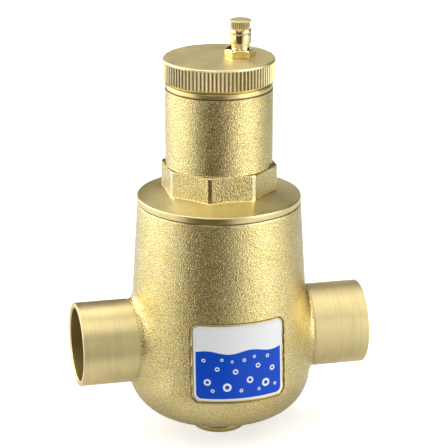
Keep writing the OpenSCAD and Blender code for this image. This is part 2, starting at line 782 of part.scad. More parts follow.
module float_lid() {
    color(float_plastic) translate([0, 0, lid_top_z - lid_t]) difference() {
        cylinder(r = float_r, h = lid_t);
        translate([0, 0, -reach]) cylinder(r = float_tube_r + touch_gap, h = lid_t + 2 * reach);
    }
}

module float_hook() {
    hook_t = 1.4;
    window = [4.8, 2];
    post = 1.2;
    foot = [5, 0.8];
    window_z = pivot_z - float_travel / 2;
    top_z = window_z + window[1] / 2 + post;
    color(steel) {
        translate([hook_x - hook_t / 2, 0, 0]) rotate([90, 0, 90]) linear_extrude(hook_t) difference() {
            translate([-window[0] / 2 - post, lid_top_z])
                square([window[0] + 2 * post, top_z - lid_top_z]);
            translate([-window[0] / 2, window_z - window[1] / 2]) square(window);
        }
        translate([hook_x - foot[0] / 2, -window[0] / 2 - post, lid_top_z])
            cube([foot[0], window[0] + 2 * post, foot[1]]);
    }
}

separator_body();
label_plate();
drain_plug();
drain_plug_o_ring();
element_base();
element_core_rod();
element_vanes();
element_outer_mesh();
element_top_plate();
float_chamber();
bonnet_o_ring();
top_cover();
cover_o_ring();
vent_nozzle();
nozzle_o_ring();
vent_cap();
vent_cap_washer();
linkage_bracket();
bracket_screws();
lever_pin();
lever_pin_clip();
float_guide_pin();
float_lever();
valve_stem();
stem_seal();
stem_clip();
valve_spring();
float_shell();
float_lid();
float_hook();
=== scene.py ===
"""Looks of the in-line air separator with its automatic float vent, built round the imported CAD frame."""
import json
import math

import bmesh
import bpy
import numpy as np
from mathutils import Euler, Matrix, Vector

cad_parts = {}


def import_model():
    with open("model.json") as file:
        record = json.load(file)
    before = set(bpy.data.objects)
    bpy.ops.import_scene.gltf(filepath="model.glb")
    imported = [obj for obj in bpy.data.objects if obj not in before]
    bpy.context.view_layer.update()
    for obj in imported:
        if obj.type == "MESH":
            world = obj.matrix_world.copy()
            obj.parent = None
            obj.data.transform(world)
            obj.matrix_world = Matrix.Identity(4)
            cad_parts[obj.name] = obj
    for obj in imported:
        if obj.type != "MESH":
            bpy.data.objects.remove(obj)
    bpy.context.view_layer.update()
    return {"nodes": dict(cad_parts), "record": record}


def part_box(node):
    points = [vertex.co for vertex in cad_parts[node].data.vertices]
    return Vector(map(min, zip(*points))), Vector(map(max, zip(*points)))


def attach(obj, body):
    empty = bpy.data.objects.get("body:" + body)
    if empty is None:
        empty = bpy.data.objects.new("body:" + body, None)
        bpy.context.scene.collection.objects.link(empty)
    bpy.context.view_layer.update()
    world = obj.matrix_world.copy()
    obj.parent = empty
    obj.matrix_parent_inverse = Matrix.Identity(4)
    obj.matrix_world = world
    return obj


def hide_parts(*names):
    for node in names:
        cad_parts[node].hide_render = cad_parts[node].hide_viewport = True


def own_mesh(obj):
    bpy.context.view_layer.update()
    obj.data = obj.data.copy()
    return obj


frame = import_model()

MM = 0.001  # every length below is in millimetres until a mesh is made


# ---------------- places and sizes from the frame
def box_mm(node):
    """Lowest and highest corner of a CAD node, in millimetres."""
    low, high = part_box(node)
    return low / MM, high / MM


def mount(name):
    """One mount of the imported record."""
    return next(m for m in frame["record"]["mounts"] if m["name"] == name)


SOCKET = mount("outlet_socket")
PIPE_Z = SOCKET["pos_m"][2] / MM
SOCKET_BORE_R = SOCKET["dims"]["r_mm"]

body_low, body_high = box_mm("separator_body")
HALF_SPAN = body_high.x
RIM_Z = body_high.z
BOSS_Z = body_low.z
SOCKET_R = 20.0
SOCKET_DEPTH = 24.6
WATERWAY_R = 15.9

chamber_low, chamber_high = box_mm("float_chamber")
FLANGE_R = chamber_high.x
SKIRT_Z = chamber_low.z
MOUTH_Z = chamber_high.z

cover_low, cover_high = box_mm("top_cover")
KNURL_R = cover_high.x
COVER_TOP_Z = cover_high.z
SPIGOT_Z = cover_low.z
COVER_Z = MOUTH_Z + 1.4

NOZZLE_FOOT_Z = box_mm("vent_nozzle")[0].z
cap_low, cap_high = box_mm("vent_cap")
NOZZLE_X = (cap_low.x + cap_high.x) / 2
PLUG_TOP_Z = box_mm("drain_plug")[1].z

# Barrel outline, as in the CAD: tapered wall, rounded corner, domed bottom
WALL = 4.0
TAPER = math.atan(0.0603)
CORNER_R = 21.3
CORNER_Z = PIPE_Z - 17.1
DOME_FOOT_Z = PIPE_Z - 42.4
BOSS_R = 12.75
CORNER_X = (FLANGE_R * math.cos(TAPER) + (RIM_Z - CORNER_Z) * math.sin(TAPER) - CORNER_R) / math.cos(TAPER)
DOME_SINK = CORNER_Z - DOME_FOOT_Z
DOME_R = (CORNER_X ** 2 + DOME_SINK ** 2 - CORNER_R ** 2) / (2 * (DOME_SINK - CORNER_R))
DOME_Z = DOME_FOOT_Z + DOME_R
DOME_JOIN = math.atan2(CORNER_Z - DOME_Z, CORNER_X)


# ---------------- outlines
FILLET_STEPS = 4  # straight stretches round each fillet


def arc(centre, radius, start, end, steps):
    """Points of an arc, both ends included. Angles are in radians."""
    return [(centre[0] + radius * math.cos(a), centre[1] + radius * math.sin(a))
            for a in np.linspace(start, end, steps + 1)]


def smooth(x):
    """Smoothstep of a number or an array, clamped to 0..1."""
    x = np.clip(x, 0.0, 1.0)
    return x * x * (3 - 2 * x)


def rounded(corners):
    """An outline with its corners rounded. Each corner is (r, z) or (r, z, fillet radius)."""
    points = []
    for i, corner in enumerate(corners):
        here = Vector(corner[:2])
        fillet = corner[2] if len(corner) > 2 else 0.0
        if not fillet or i in (0, len(corners) - 1):
            points.append(tuple(here))
            continue
        back = (Vector(corners[i - 1][:2]) - here).normalized()
        ahead = (Vector(corners[i + 1][:2]) - here).normalized()
        half = math.acos(max(-1.0, min(1.0, back.dot(ahead)))) / 2
        centre = here + (back + ahead).normalized() * (fillet / math.sin(half))
        first = here + back * (fillet / math.tan(half)) - centre
        last = here + ahead * (fillet / math.tan(half)) - centre
        sweep = first.angle_signed(last)
        start = math.atan2(first.y, first.x)
        points += arc(centre, fillet, start, start - sweep, FILLET_STEPS)
    return points


def refined(points, longest):
    """The outline with extra points, so that no stretch is longer than longest."""
    made = [points[0]]
    for a, b in zip(points, points[1:]):
        count = max(1, math.ceil(math.dist(a, b) / longest))
        made += [tuple(np.array(a) + (np.array(b) - np.array(a)) * i / count) for i in range(1, count + 1)]
    return made


# ---------------- meshes
AXIS_R = 1e-6  # a smaller radius is on the axis


def quads(rows, columns, loop=False):
    """Faces of a grid whose columns close round an axis. With loop, the last row joins the first."""
    i = np.arange(rows if loop else rows - 1)[:, None]
    j = np.arange(columns)[None, :]
    a, b = i * columns + j, i * columns + (j + 1) % columns
    c, d = ((i + 1) % rows) * columns + (j + 1) % columns, ((i + 1) % rows) * columns + j
    return np.stack([a + 0 * b, b, c, d], axis=-1).reshape(-1, 4)


def new_object(name, points, faces):
    """A mesh object from points in millimetres."""
    mesh = bpy.data.meshes.new(name)
    mesh.from_pydata((np.asarray(points) * MM).tolist(), [], [tuple(f) for f in faces])
    mesh.validate()
    made = bpy.data.objects.new(name, mesh)
    bpy.context.scene.collection.objects.link(made)
    return made


def ring_solid(name, radius, height, angle, centre=(0.0, 0.0)):
    """A closed solid from grids of radius and height: rows along the outline, columns round the axis.
    The outline is a closed loop, or starts and ends on the axis."""
    columns = len(angle)
    on_axis = np.all(radius[0] < AXIS_R)
    if on_axis:
        radius, height = radius[1:-1], height[1:-1]
    x = centre[0] + radius * np.cos(angle)
    y = centre[1] + radius * np.sin(angle)
    points = np.stack([x, y, height], axis=-1).reshape(-1, 3)
    if not on_axis:
        return new_object(name, points, quads(len(radius), columns, loop=True))
    faces = quads(len(radius), columns).tolist()
    first, last = len(points), len(points) + 1
    tail = len(points) - columns
    for j in range(columns):
        k = (j + 1) % columns
        faces.append((first, k, j))
        faces.append((last, tail + j, tail + k))
    ends = [(*centre, height[0].mean()), (*centre, height[-1].mean())]
    return new_object(name, np.vstack([points, ends]), faces)


class Rows:
    """Rows of radius and height round an axis, gathered along an outline and then made into a solid."""

    def __init__(self, angle):
        self.angle = angle
        self.rows = []

    def row(self, radius, height):
        """Adds one row. Both may be one number or an array with a value for each angle."""
        self.rows.append(np.broadcast_arrays(radius, height, self.angle)[:2])

    def line(self, points):
        """Adds a round row for each (r, z)."""
        for point in points:
            self.row(*point)

    def thread(self, heights, root_r, depth, pitch, foot, top):
        """Adds a helical thread. foot and top are (z, length over which the thread fades out)."""
        for z in heights:
            fade = smooth((top[0] - z) / top[1]) * smooth((z - foot[0]) / foot[1])
            phase = (z / pitch - self.angle / (2 * math.pi)) % 1.0
            self.row(root_r + depth * fade * np.clip(1.75 - np.abs(phase - 0.5) * 4.0, 0.0, 1.0), z)

    def solid(self, name, centre=(0.0, 0.0)):
        radius, height = (np.stack(part) for part in zip(*self.rows))
        return ring_solid(name, radius, height, self.angle, centre)


def even_angles(columns):
    """Angles of the columns of a ring, evenly round it."""
    return np.linspace(0, 2 * math.pi, columns, endpoint=False)


def lathe(name, outline, columns):
    """A solid of revolution about the vertical axis."""
    rows = Rows(even_angles(columns))
    rows.line(outline)
    return rows.solid(name)


def boolean(target, cutter, operation):
    """Joins or cuts target with cutter, which is used up."""
    modifier = target.modifiers.new(operation.lower(), "BOOLEAN")
    modifier.operation = operation
    modifier.object = cutter
    modifier.solver = "EXACT"
    applied = bpy.data.meshes.new_from_object(
        target.evaluated_get(bpy.context.evaluated_depsgraph_get()))
    target.modifiers.clear()
    target.data = applied
    bpy.data.objects.remove(cutter)


def recalculated(piece):
    """Turns every face outwards."""
    mesh = bmesh.new()
    mesh.from_mesh(piece.data)
    bmesh.ops.recalc_face_normals(mesh, faces=mesh.faces)
    mesh.to_mesh(piece.data)
    mesh.free()
    return piece


def finished(piece, body, slot, *stands_for, materials, sharp=35.0, weighted=True):
    """Shading, materials, the piece's body, and the CAD parts that it stands for hidden."""
    recalculated(piece)
    piece.data.polygons.foreach_set("use_smooth", [True] * len(piece.data.polygons))
    piece.data.set_sharp_from_angle(angle=math.radians(sharp))
    for material in materials:
        piece.data.materials.append(material)
    if weighted:
        modifier = piece.modifiers.new("even_normals", "WEIGHTED_NORMAL")
        modifier.keep_sharp = True
    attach(piece, body)
    if stands_for:
        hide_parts(*stands_for)
    return piece


def paint(piece, layers):
    """Gives faces their materials. layers(face centres in mm) lists (material, faces), the last on top."""
    count = len(piece.data.polygons)
    centres = np.zeros(count * 3)
    piece.data.polygons.foreach_get("center", centres)
    slot = np.zeros(count, dtype=np.int32)
    for material, faces in layers(centres.reshape(-1, 3) / MM):
        slot[faces] = piece.data.materials.find(material.name)
    piece.data.polygons.foreach_set("material_index", slot)
    return piece


# ---------------- separator body
LABEL_W = 42.5
LABEL_H = 36.0
LABEL_CORNER_R = 3.0
POCKET_BORDER = 1.3
POCKET_DEPTH = 0.8
POCKET_EDGE = 0.75
POCKET_LIP = 0.04
POCKET_SHADE = 0.42  # half the width of the pocket's wall, which is darkened as painted shade
POCKET_INNER_R = 40.3  # the cavity's wall lies within this radius
POCKET_MARGIN = 4.0
ROW_STEP = 1.2
POCKET_ROW_STEP = 0.4
FRONT = math.radians(270)
FRONT_SPREAD = math.radians(36)
FRONT_COLUMNS = 150
OTHER_COLUMNS = 144
FLOOR_Z = 11.0
PLUG_BORE_R = 10.5
BONNET_BORE_R = 35.0
BONNET_DEPTH = 12.0
TURN_START = 42.2
GROOVE_DEPTH = 0.32
GROOVE_END = 1.3
FLARE_SPREAD = 3.2
FLARE_LIMIT_R = 31.0
SKIN = 0.04  # how far the casting's skin lies inside the CAD barrel


def barrel_r(z):
    """Radius of the barrel's skin at a height, down its tapered wall and round its corner."""
    corner = CORNER_X + np.sqrt(np.maximum((CORNER_R - SKIN) ** 2 - (z - CORNER_Z) ** 2, 0.0))
    wall = FLANGE_R - SKIN / math.cos(TAPER) + (RIM_Z - z) * math.tan(TAPER)
    return np.where(z > CORNER_Z + CORNER_R * math.sin(TAPER), wall, corner)


def barrel_outline(inset):
    """Half outline of the barrel from its rim to its domed bottom, moved inwards."""
    return [(FLANGE_R - inset / math.cos(TAPER), RIM_Z)] \
        + arc((CORNER_X, CORNER_Z), CORNER_R - inset, TAPER, DOME_JOIN, 24) \
        + arc((0.0, DOME_Z), DOME_R - inset, DOME_JOIN, -math.pi / 2, 14)[1:]


def side_x(y, z):
    """Distance of the barrel's skin from the YZ plane."""
    return np.sqrt(barrel_r(z) ** 2 - y ** 2)


def turned_from(y, z):
    """Distance from the YZ plane at which a socket's turned part starts, in the direction of (y, z)."""
    reach = np.hypot(y, z - PIPE_Z)
    root = side_x(y / reach * SOCKET_R, PIPE_Z + (z - PIPE_Z) / reach * SOCKET_R)
    a, b = np.full_like(root, TURN_START), root + 1.6
    blend = np.maximum(1.5 - np.abs(a - b), 0.0) / 1.5
    return np.maximum(a, b) + blend ** 2 * 0.375


def pocket_distance(x, z):
    """Distance outside the rounded outline of the label's pocket, seen from the front."""
    across = np.abs(x) - (LABEL_W / 2 - LABEL_CORNER_R)
    up = np.abs(z - PIPE_Z) - (LABEL_H / 2 - LABEL_CORNER_R)
    distance = np.hypot(np.maximum(across, 0), np.maximum(up, 0)) + np.minimum(np.maximum(across, up), 0)
    return distance - LABEL_CORNER_R - POCKET_BORDER


def barrel():
    """The barrel with the label's pocket in front, its cavity and the drain boss, as one closed wall."""
    outer = [p for p in barrel_outline(SKIN) if p[0] > BOSS_R + 1.0]
    rim = [(FLANGE_R - 0.45, RIM_Z), (FLANGE_R - 0.14, RIM_Z - 0.12), (FLANGE_R + 0.02, RIM_Z - 0.45)]
    skin = refined(rim + outer[1:], ROW_STEP)
    # closer rows where the pocket's edge bends the wall
    upper = PIPE_Z + LABEL_H / 2 + POCKET_MARGIN
    lower = PIPE_Z - LABEL_H / 2 - POCKET_MARGIN
    close = [(float(barrel_r(z)), z) for z in np.arange(upper, lower, -POCKET_ROW_STEP)]
    skin = [p for p in skin if p[1] > upper] + close + [p for p in skin if p[1] < lower]
    boss_join = DOME_Z - math.sqrt(DOME_R ** 2 - BOSS_R ** 2)
    skin += rounded([skin[-1], (BOSS_R + 0.1, boss_join + 0.1, 1.2), (BOSS_R, boss_join - 1.0),
                     (BOSS_R, BOSS_Z, 0.5), (PLUG_BORE_R + 0.4, BOSS_Z), (PLUG_BORE_R, BOSS_Z + 0.5)])[1:]
    shell = [p for p in barrel_outline(WALL) if p[1] > FLOOR_Z and p[0] < BONNET_BORE_R + 4.5]
    shell_floor = math.sqrt((DOME_R - WALL) ** 2 - (DOME_Z - FLOOR_Z) ** 2)
    ledge = RIM_Z - BONNET_DEPTH
    inner = [(PLUG_BORE_R, FLOOR_Z), (shell_floor, FLOOR_Z), *shell[:0:-1], (FLANGE_R - WALL, ledge),
             (BONNET_BORE_R, ledge), (BONNET_BORE_R, RIM_Z - 0.5), (BONNET_BORE_R + 0.5, RIM_Z)]
    outline = np.array(skin + inner)
    start = FRONT - FRONT_SPREAD
    end = FRONT + FRONT_SPREAD
    fine = np.linspace(start, end, FRONT_COLUMNS, endpoint=False)
    coarse = np.linspace(end, start + 2 * math.pi, OTHER_COLUMNS, endpoint=False)
    angle = np.concatenate([fine, coarse])
    radius = np.repeat(outline[:, :1], len(angle), axis=1)
    height = np.repeat(outline[:, 1:], len(angle), axis=1)
    distance = pocket_distance(radius * np.cos(angle), height)
    sunk = POCKET_DEPTH * smooth(0.5 - distance / POCKET_EDGE)
    on_skin = np.arange(len(outline)) < len(skin)
    lip = POCKET_LIP * np.exp(-((distance - 0.6) / 0.5) ** 2)
    radius += (lip - sunk) * (np.sin(angle) < 0) * on_skin[:, None] * (radius > BOSS_R + 5)
    return ring_solid("separator_casting", radius, height, angle)


def socket_solid(side):
    """A pipe socket whose root flares into the barrel's skin, with a tool groove where turning starts."""
    turn = even_angles(160)
    ring_y, ring_z = SOCKET_R * np.sin(turn), PIPE_Z + SOCKET_R * np.cos(turn)
    start = turned_from(ring_y, ring_z)
    flare = start - side_x(ring_y, ring_z)
    spread = np.minimum(FLARE_SPREAD * flare, FLARE_LIMIT_R - SOCKET_R)
    rows = []

    def row(reach, x):
        across = side * x * np.ones_like(turn)
        rows.append(np.stack([across, reach * np.sin(turn), PIPE_Z + reach * np.cos(turn)], axis=-1))

    def on_skin(reach):
        return side_x(reach * np.sin(turn), PIPE_Z + reach * np.cos(turn))

    for share in (0.35, 0.7, 1.0):
        reach = (SOCKET_R + spread) * share
        row(reach, on_skin(reach) - 2.0)
    for a in np.linspace(0, math.pi / 2, 17):
        reach = SOCKET_R + spread * (1 - math.sin(a))
        lift = flare * (1 - math.cos(a)) - 0.05 * (1 - math.sin(a))
        row(reach, on_skin(reach) + lift)
    groove = ((0.0, 0.15), (GROOVE_DEPTH, 0.4), (GROOVE_DEPTH, 0.75), (0.03, 1.05), (0.0, GROOVE_END))
    for depth, ahead in groove:
        row(SOCKET_R - depth, start + ahead)
    for share in (0.25, 0.5, 0.75):
        row(SOCKET_R, start + GROOVE_END + (HALF_SPAN - 0.5 - start - GROOVE_END) * share)
    edge = rounded([(SOCKET_R, HALF_SPAN - 2.0), (SOCKET_R, HALF_SPAN, 0.4), (SOCKET_R - 2.0, HALF_SPAN)])
    for r, x in edge[1:-1]:
        row(r, x)
    row(10.0, HALF_SPAN)
    columns = len(turn)
    tail = (len(rows) - 1) * columns
    root_end = list(range(columns))[::-1]
    open_end = [tail + j for j in range(columns)]
    faces = [*quads(len(rows), columns), root_end, open_end]
    return recalculated(new_object("socket", np.concatenate(rows), faces))


def bore_solid():
    """What is cut along the pipe: the waterway, and at each end a socket bore with a broken edge."""
    stop = HALF_SPAN - SOCKET_DEPTH
    end = HALF_SPAN + 1.0
    half = [(WATERWAY_R, 0.0), (WATERWAY_R, stop - 0.3), (WATERWAY_R + 0.3, stop),
            (SOCKET_BORE_R - 0.2, stop), (SOCKET_BORE_R, stop + 0.2),
            (SOCKET_BORE_R, HALF_SPAN - 0.5), (SOCKET_BORE_R + 1.5, end)]
    outline = [(0.0, -end), *((r, -x) for r, x in half[::-1]), *half[1:], (0.0, end)]
    cutter = lathe("bore", outline, columns=128)
    cutter.data.transform(Euler((0.0, math.pi / 2, 0.0)).to_matrix().to_4x4())
    cutter.data.transform(Matrix.Translation((0.0, 0.0, PIPE_Z * MM)))
    return recalculated(cutter)


def separator_body():
    """Barrel and sockets as one casting, with its turned faces painted, painted shade on the pocket's wall
    and in the bores, and a painted highlight on the rim and round the pocket's floor.
    """
    piece = recalculated(barrel())
    boolean(piece, socket_solid(1), "UNION")
    boolean(piece, socket_solid(-1), "UNION")
    boolean(piece, bore_solid(), "DIFFERENCE")
    finished(piece, "housing", "cast_brass", "separator_body",
             materials=[CAST, TURNED_X, BORE_SHADE, EDGE_HIGHLIGHT, GROOVE_SHADE])

    def layers(centre):
        x, y, z = np.abs(centre[:, 0]), centre[:, 1], centre[:, 2]
        front = (y < 0) & (np.hypot(x, y) > POCKET_INNER_R)
        inside = pocket_distance(x, z)
        border = front & (inside > -POCKET_BORDER - 1.0) & (inside <= -POCKET_SHADE)
        pocket_wall = front & (np.abs(inside) < POCKET_SHADE)
        rim = (z > RIM_Z - 0.5) & (np.hypot(x, y) > FLANGE_R - 0.5)
        reach = np.hypot(y, z - PIPE_Z)
        near = reach < SOCKET_R + 0.2
        turned = near & (x > turned_from(y, np.where(near, z, PIPE_Z + 10.0)) + 0.3)
        bore = (reach < SOCKET_BORE_R + 0.02) & (x > 20.0) & (x < HALF_SPAN - 0.45)
        # painted shade on the pocket's wall and in the bores; painted highlight on the rim and round the
        # pocket's floor
        return (GROOVE_SHADE, pocket_wall), (EDGE_HIGHLIGHT, rim | border), (TURNED_X, turned), (BORE_SHADE, bore)

    return paint(piece, layers)


# ---------------- float chamber
OCTAGON_R = 27.9
OCTAGON_APOTHEM = OCTAGON_R * math.cos(math.pi / 8)
OCTAGON_TURN = math.radians(22.5)
CORNER_CUT_W = 1.7
CORNER_CUT_ANGLE = math.atan(CORNER_CUT_W / 2 / (OCTAGON_R - CORNER_CUT_W / 2 * math.tan(math.pi / 8)))
OCTAGON_FOOT_Z = PIPE_Z + 74.0
OCTAGON_TOP_Z = PIPE_Z + 85.9
CHAMBER_R = 25.35
BAND_H = 2.5
BAND_GROOVE = 0.6
GROOVED_R = CHAMBER_R - BAND_GROOVE
BAND_R = CHAMBER_R - 0.12
FOOT_FILLET = 0.7
FLANGE_TOP_Z = RIM_Z + 3.4
CHAMBER_BORE_R = 21.5
COVER_PITCH = 1.5
COVER_THREAD_DEPTH = 0.6
COVER_THREAD_FADE = 0.8
COVER_THREAD_STEP = 0.15


def polygon_r(angle, sides, apothem, corner, turn=0.0):
    """Radius at each angle of a regular polygon with rounded corners. turn is the angle of one corner."""
    step = 2 * math.pi / sides
    off = np.abs((angle - turn + step / 2) % step - step / 2)
    flat = apothem / np.cos(step / 2 - off)
    centre = (apothem - corner) / math.cos(step / 2)
    round_r = centre * np.cos(off) + np.sqrt(np.maximum(corner ** 2 - (centre * np.sin(off)) ** 2, 0.0))
    meets = math.atan2(corner * math.sin(step / 2), centre + corner * math.cos(step / 2))
    return np.where(off < meets, round_r, flat)


def octagon_r(angle):
    """Radius at each angle of the spanner octagon, whose corners are cut flat."""
    step = math.pi / 4
    off = np.abs((angle - OCTAGON_TURN + step / 2) % step - step / 2)
    cut = OCTAGON_R - CORNER_CUT_W / 2 * math.tan(step / 2)
    return np.minimum(OCTAGON_APOTHEM / np.cos(step / 2 - off), cut / np.cos(off))


def float_chamber():
    """Flange, shoulder, octagon, plain wall and turned mouth, with the bore and screwed skirt inside."""
    cut = math.degrees(CORNER_CUT_ANGLE)
    near = np.radians([0.0, cut * 0.5, cut - 0.25, cut, cut + 0.25, cut + 0.9,
                       4.0, 6.5, 9.0, 12.0, 15.0, 18.5])
    octant = np.concatenate([-near[:0:-1], near, [math.pi / 8]])
    angle = np.sort(np.concatenate([octant + OCTAGON_TURN + math.pi / 4 * k for k in range(8)]))
    octagon = octagon_r(angle)
    rows = Rows(angle)
    shoulder_r = FLANGE_R - 0.5
    rise = (OCTAGON_FOOT_Z - FLANGE_TOP_Z) / (shoulder_r - OCTAGON_APOTHEM)

    def shoulder_z(r):
        return FLANGE_TOP_Z + (shoulder_r - r) * rise

    thread_r = BONNET_BORE_R - 0.1
    rows.line([(thread_r - 0.7, SKIRT_Z), (thread_r, SKIRT_Z + 0.7), (thread_r, RIM_Z - 1.5),
               (thread_r - 0.7, RIM_Z - 1.0), (thread_r - 0.7, RIM_Z + 0.02)])
    relief_r = FLANGE_R - 0.9
    slope_r = FLANGE_R - 3.0
    rows.line(refined(rounded([(thread_r, RIM_Z + 0.02), (relief_r, RIM_Z + 0.02), (relief_r, RIM_Z + 0.4),
                               (FLANGE_R, RIM_Z + 0.4, 0.2), (FLANGE_R, FLANGE_TOP_Z, 0.6),
                               (slope_r, shoulder_z(slope_r))]), 1.0)[:-1])
    # shoulder, then a small fillet up into each face of the octagon
    foot = octagon + FOOT_FILLET
    for share in np.linspace(0.0, 1.0, 9):
        r = slope_r * (1 - share) + foot * share
        rows.row(r, shoulder_z(r))
    for a in np.linspace(0, math.pi / 2, 6)[1:]:
        rows.row(foot - FOOT_FILLET * math.sin(a), shoulder_z(foot) + FOOT_FILLET * (1 - math.cos(a)))
    ledge = octagon - CHAMBER_R
    brow = np.minimum(0.55 * ledge, 0.6)
    low = shoulder_z(foot) + FOOT_FILLET
    for share in np.linspace(0.0, 1.0, 9)[1:]:
        rows.row(octagon, low + (OCTAGON_TOP_Z - brow - low) * share)
    for a in np.linspace(0, math.pi / 2, 5)[1:]:
        rows.row(octagon - brow * (1 - math.cos(a)), OCTAGON_TOP_Z - brow * (1 - math.sin(a)))
    heel = np.minimum(0.35 * ledge, 0.5)
    for a in np.linspace(0, math.pi / 2, 5):
        rows.row(CHAMBER_R + heel * (1 - math.sin(a)), OCTAGON_TOP_Z + heel * (1 - math.cos(a)))
    band_z = MOUTH_Z - BAND_H
    rows.line(refined([(CHAMBER_R, OCTAGON_TOP_Z + 1.0), (CHAMBER_R, band_z - 0.9)], 3.0))
    rows.line(rounded([(CHAMBER_R, band_z - 0.8), (CHAMBER_R, band_z - 0.35, 0.12),
                       (GROOVED_R, band_z - 0.3, 0.08), (GROOVED_R, band_z + 0.3, 0.08),
                       (BAND_R, band_z + 0.45, 0.12),
                       (BAND_R, MOUTH_Z, 0.45), (CHAMBER_BORE_R + 0.9, MOUTH_Z)]))
    bore_r = CHAMBER_BORE_R + 0.5
    rows.line([(bore_r + 0.3, MOUTH_Z), (bore_r, MOUTH_Z - 0.5)])
    thread_top = MOUTH_Z - 0.5
    thread_foot = SPIGOT_Z - 1.5
    rows.thread(np.arange(thread_top - 0.1, thread_foot, -COVER_THREAD_STEP), bore_r, COVER_THREAD_DEPTH,
                COVER_PITCH, (thread_foot, COVER_THREAD_FADE), (thread_top, COVER_THREAD_FADE))
    rows.line([(bore_r, thread_foot), (CHAMBER_BORE_R, thread_foot - 0.5), (CHAMBER_BORE_R, RIM_Z + 5.6),
               (12.0, RIM_Z + 5.6), (12.0, RIM_Z + 1.5), (30.5, RIM_Z - 5.0), (30.5, SKIRT_Z)])
    piece = finished(rows.solid("chamber_forging"), "housing", "cast_brass", "float_chamber",
                     materials=[CAST, SHOULDER, TURNED_Z, EDGE_HIGHLIGHT, GROOVE_SHADE, CORNER])

    def layers(centre):
        reach, z = np.hypot(centre[:, 0], centre[:, 1]), centre[:, 2]
        angle = np.arctan2(centre[:, 1], centre[:, 0])
        off = np.abs((angle - OCTAGON_TURN + math.pi / 8) % (math.pi / 4) - math.pi / 8)
        face = octagon_r(angle)
        flange = (z > RIM_Z) & (z < OCTAGON_FOOT_Z + 1.5) & (reach > face + 0.1)
        side = flange & (reach > FLANGE_R - 0.04) & (z < FLANGE_TOP_Z - 0.5)
        rim = flange & (reach > FLANGE_R - 0.62) & (z > FLANGE_TOP_Z - 0.55)
        fillet = flange & (reach < face + FOOT_FILLET + 0.05)
        on_octagon = (z > OCTAGON_FOOT_Z) & (z < OCTAGON_TOP_Z - 0.05) & (reach > CHAMBER_R + 0.05)
        corner = on_octagon & (off < CORNER_CUT_ANGLE)
        seam = (z > RIM_Z) & (z < RIM_Z + 0.5) & (reach < FLANGE_R - 0.15)
        ledge = (np.abs(z - OCTAGON_TOP_Z) < 0.12) & (reach < face - 0.5)
        turned = (z > band_z - 0.32) | (reach < CHAMBER_R - 1.0) | (z < RIM_Z)
        groove = (np.abs(z - band_z) < 0.42) & (reach < CHAMBER_R - 0.2) & (reach > CHAMBER_R - 0.8)
        # painted shade in the seam, on the octagon's ledge and in the band's groove; painted highlight on
        # the foot fillet and the flange's rim
        return ((SHOULDER, flange), (TURNED_Z, side), (EDGE_HIGHLIGHT, fillet | rim), (CORNER, corner),
                (GROOVE_SHADE, seam | ledge), (TURNED_Z, turned), (GROOVE_SHADE, groove))

    return paint(piece, layers)


# ---------------- top cover
KNURL_TEETH = 88
KNURL_DEPTH = 0.75
COVER_THREAD_R = 21.9
COVER_BORE_R = 18.6
CEILING_Z = COVER_TOP_Z - 4.0
HUB_R = 24.6
RING_GROOVE = (22.6, 24.0)
RUN_OUT_Z = COVER_TOP_Z - 1.35  # the teeth start to run out here
# Rows up the knurl as (height, share of the teeth's depth, how far the crests lie inside the full radius)
KNURL_ROWS = [(COVER_Z + 0.02, 1.0, 0.55), (COVER_Z + 0.2, 1.0, 0.25), (COVER_Z + 0.5, 1.0, 0.0),
              (COVER_Z + 4.0, 1.0, 0.0), (RUN_OUT_Z - 0.1, 1.0, 0.0), (RUN_OUT_Z + 0.15, 0.8, 0.0),
              (RUN_OUT_Z + 0.35, 0.45, 0.03), (RUN_OUT_Z + 0.5, 0.15, 0.10),
              (RUN_OUT_Z + 0.62, 0.0, 0.18)]


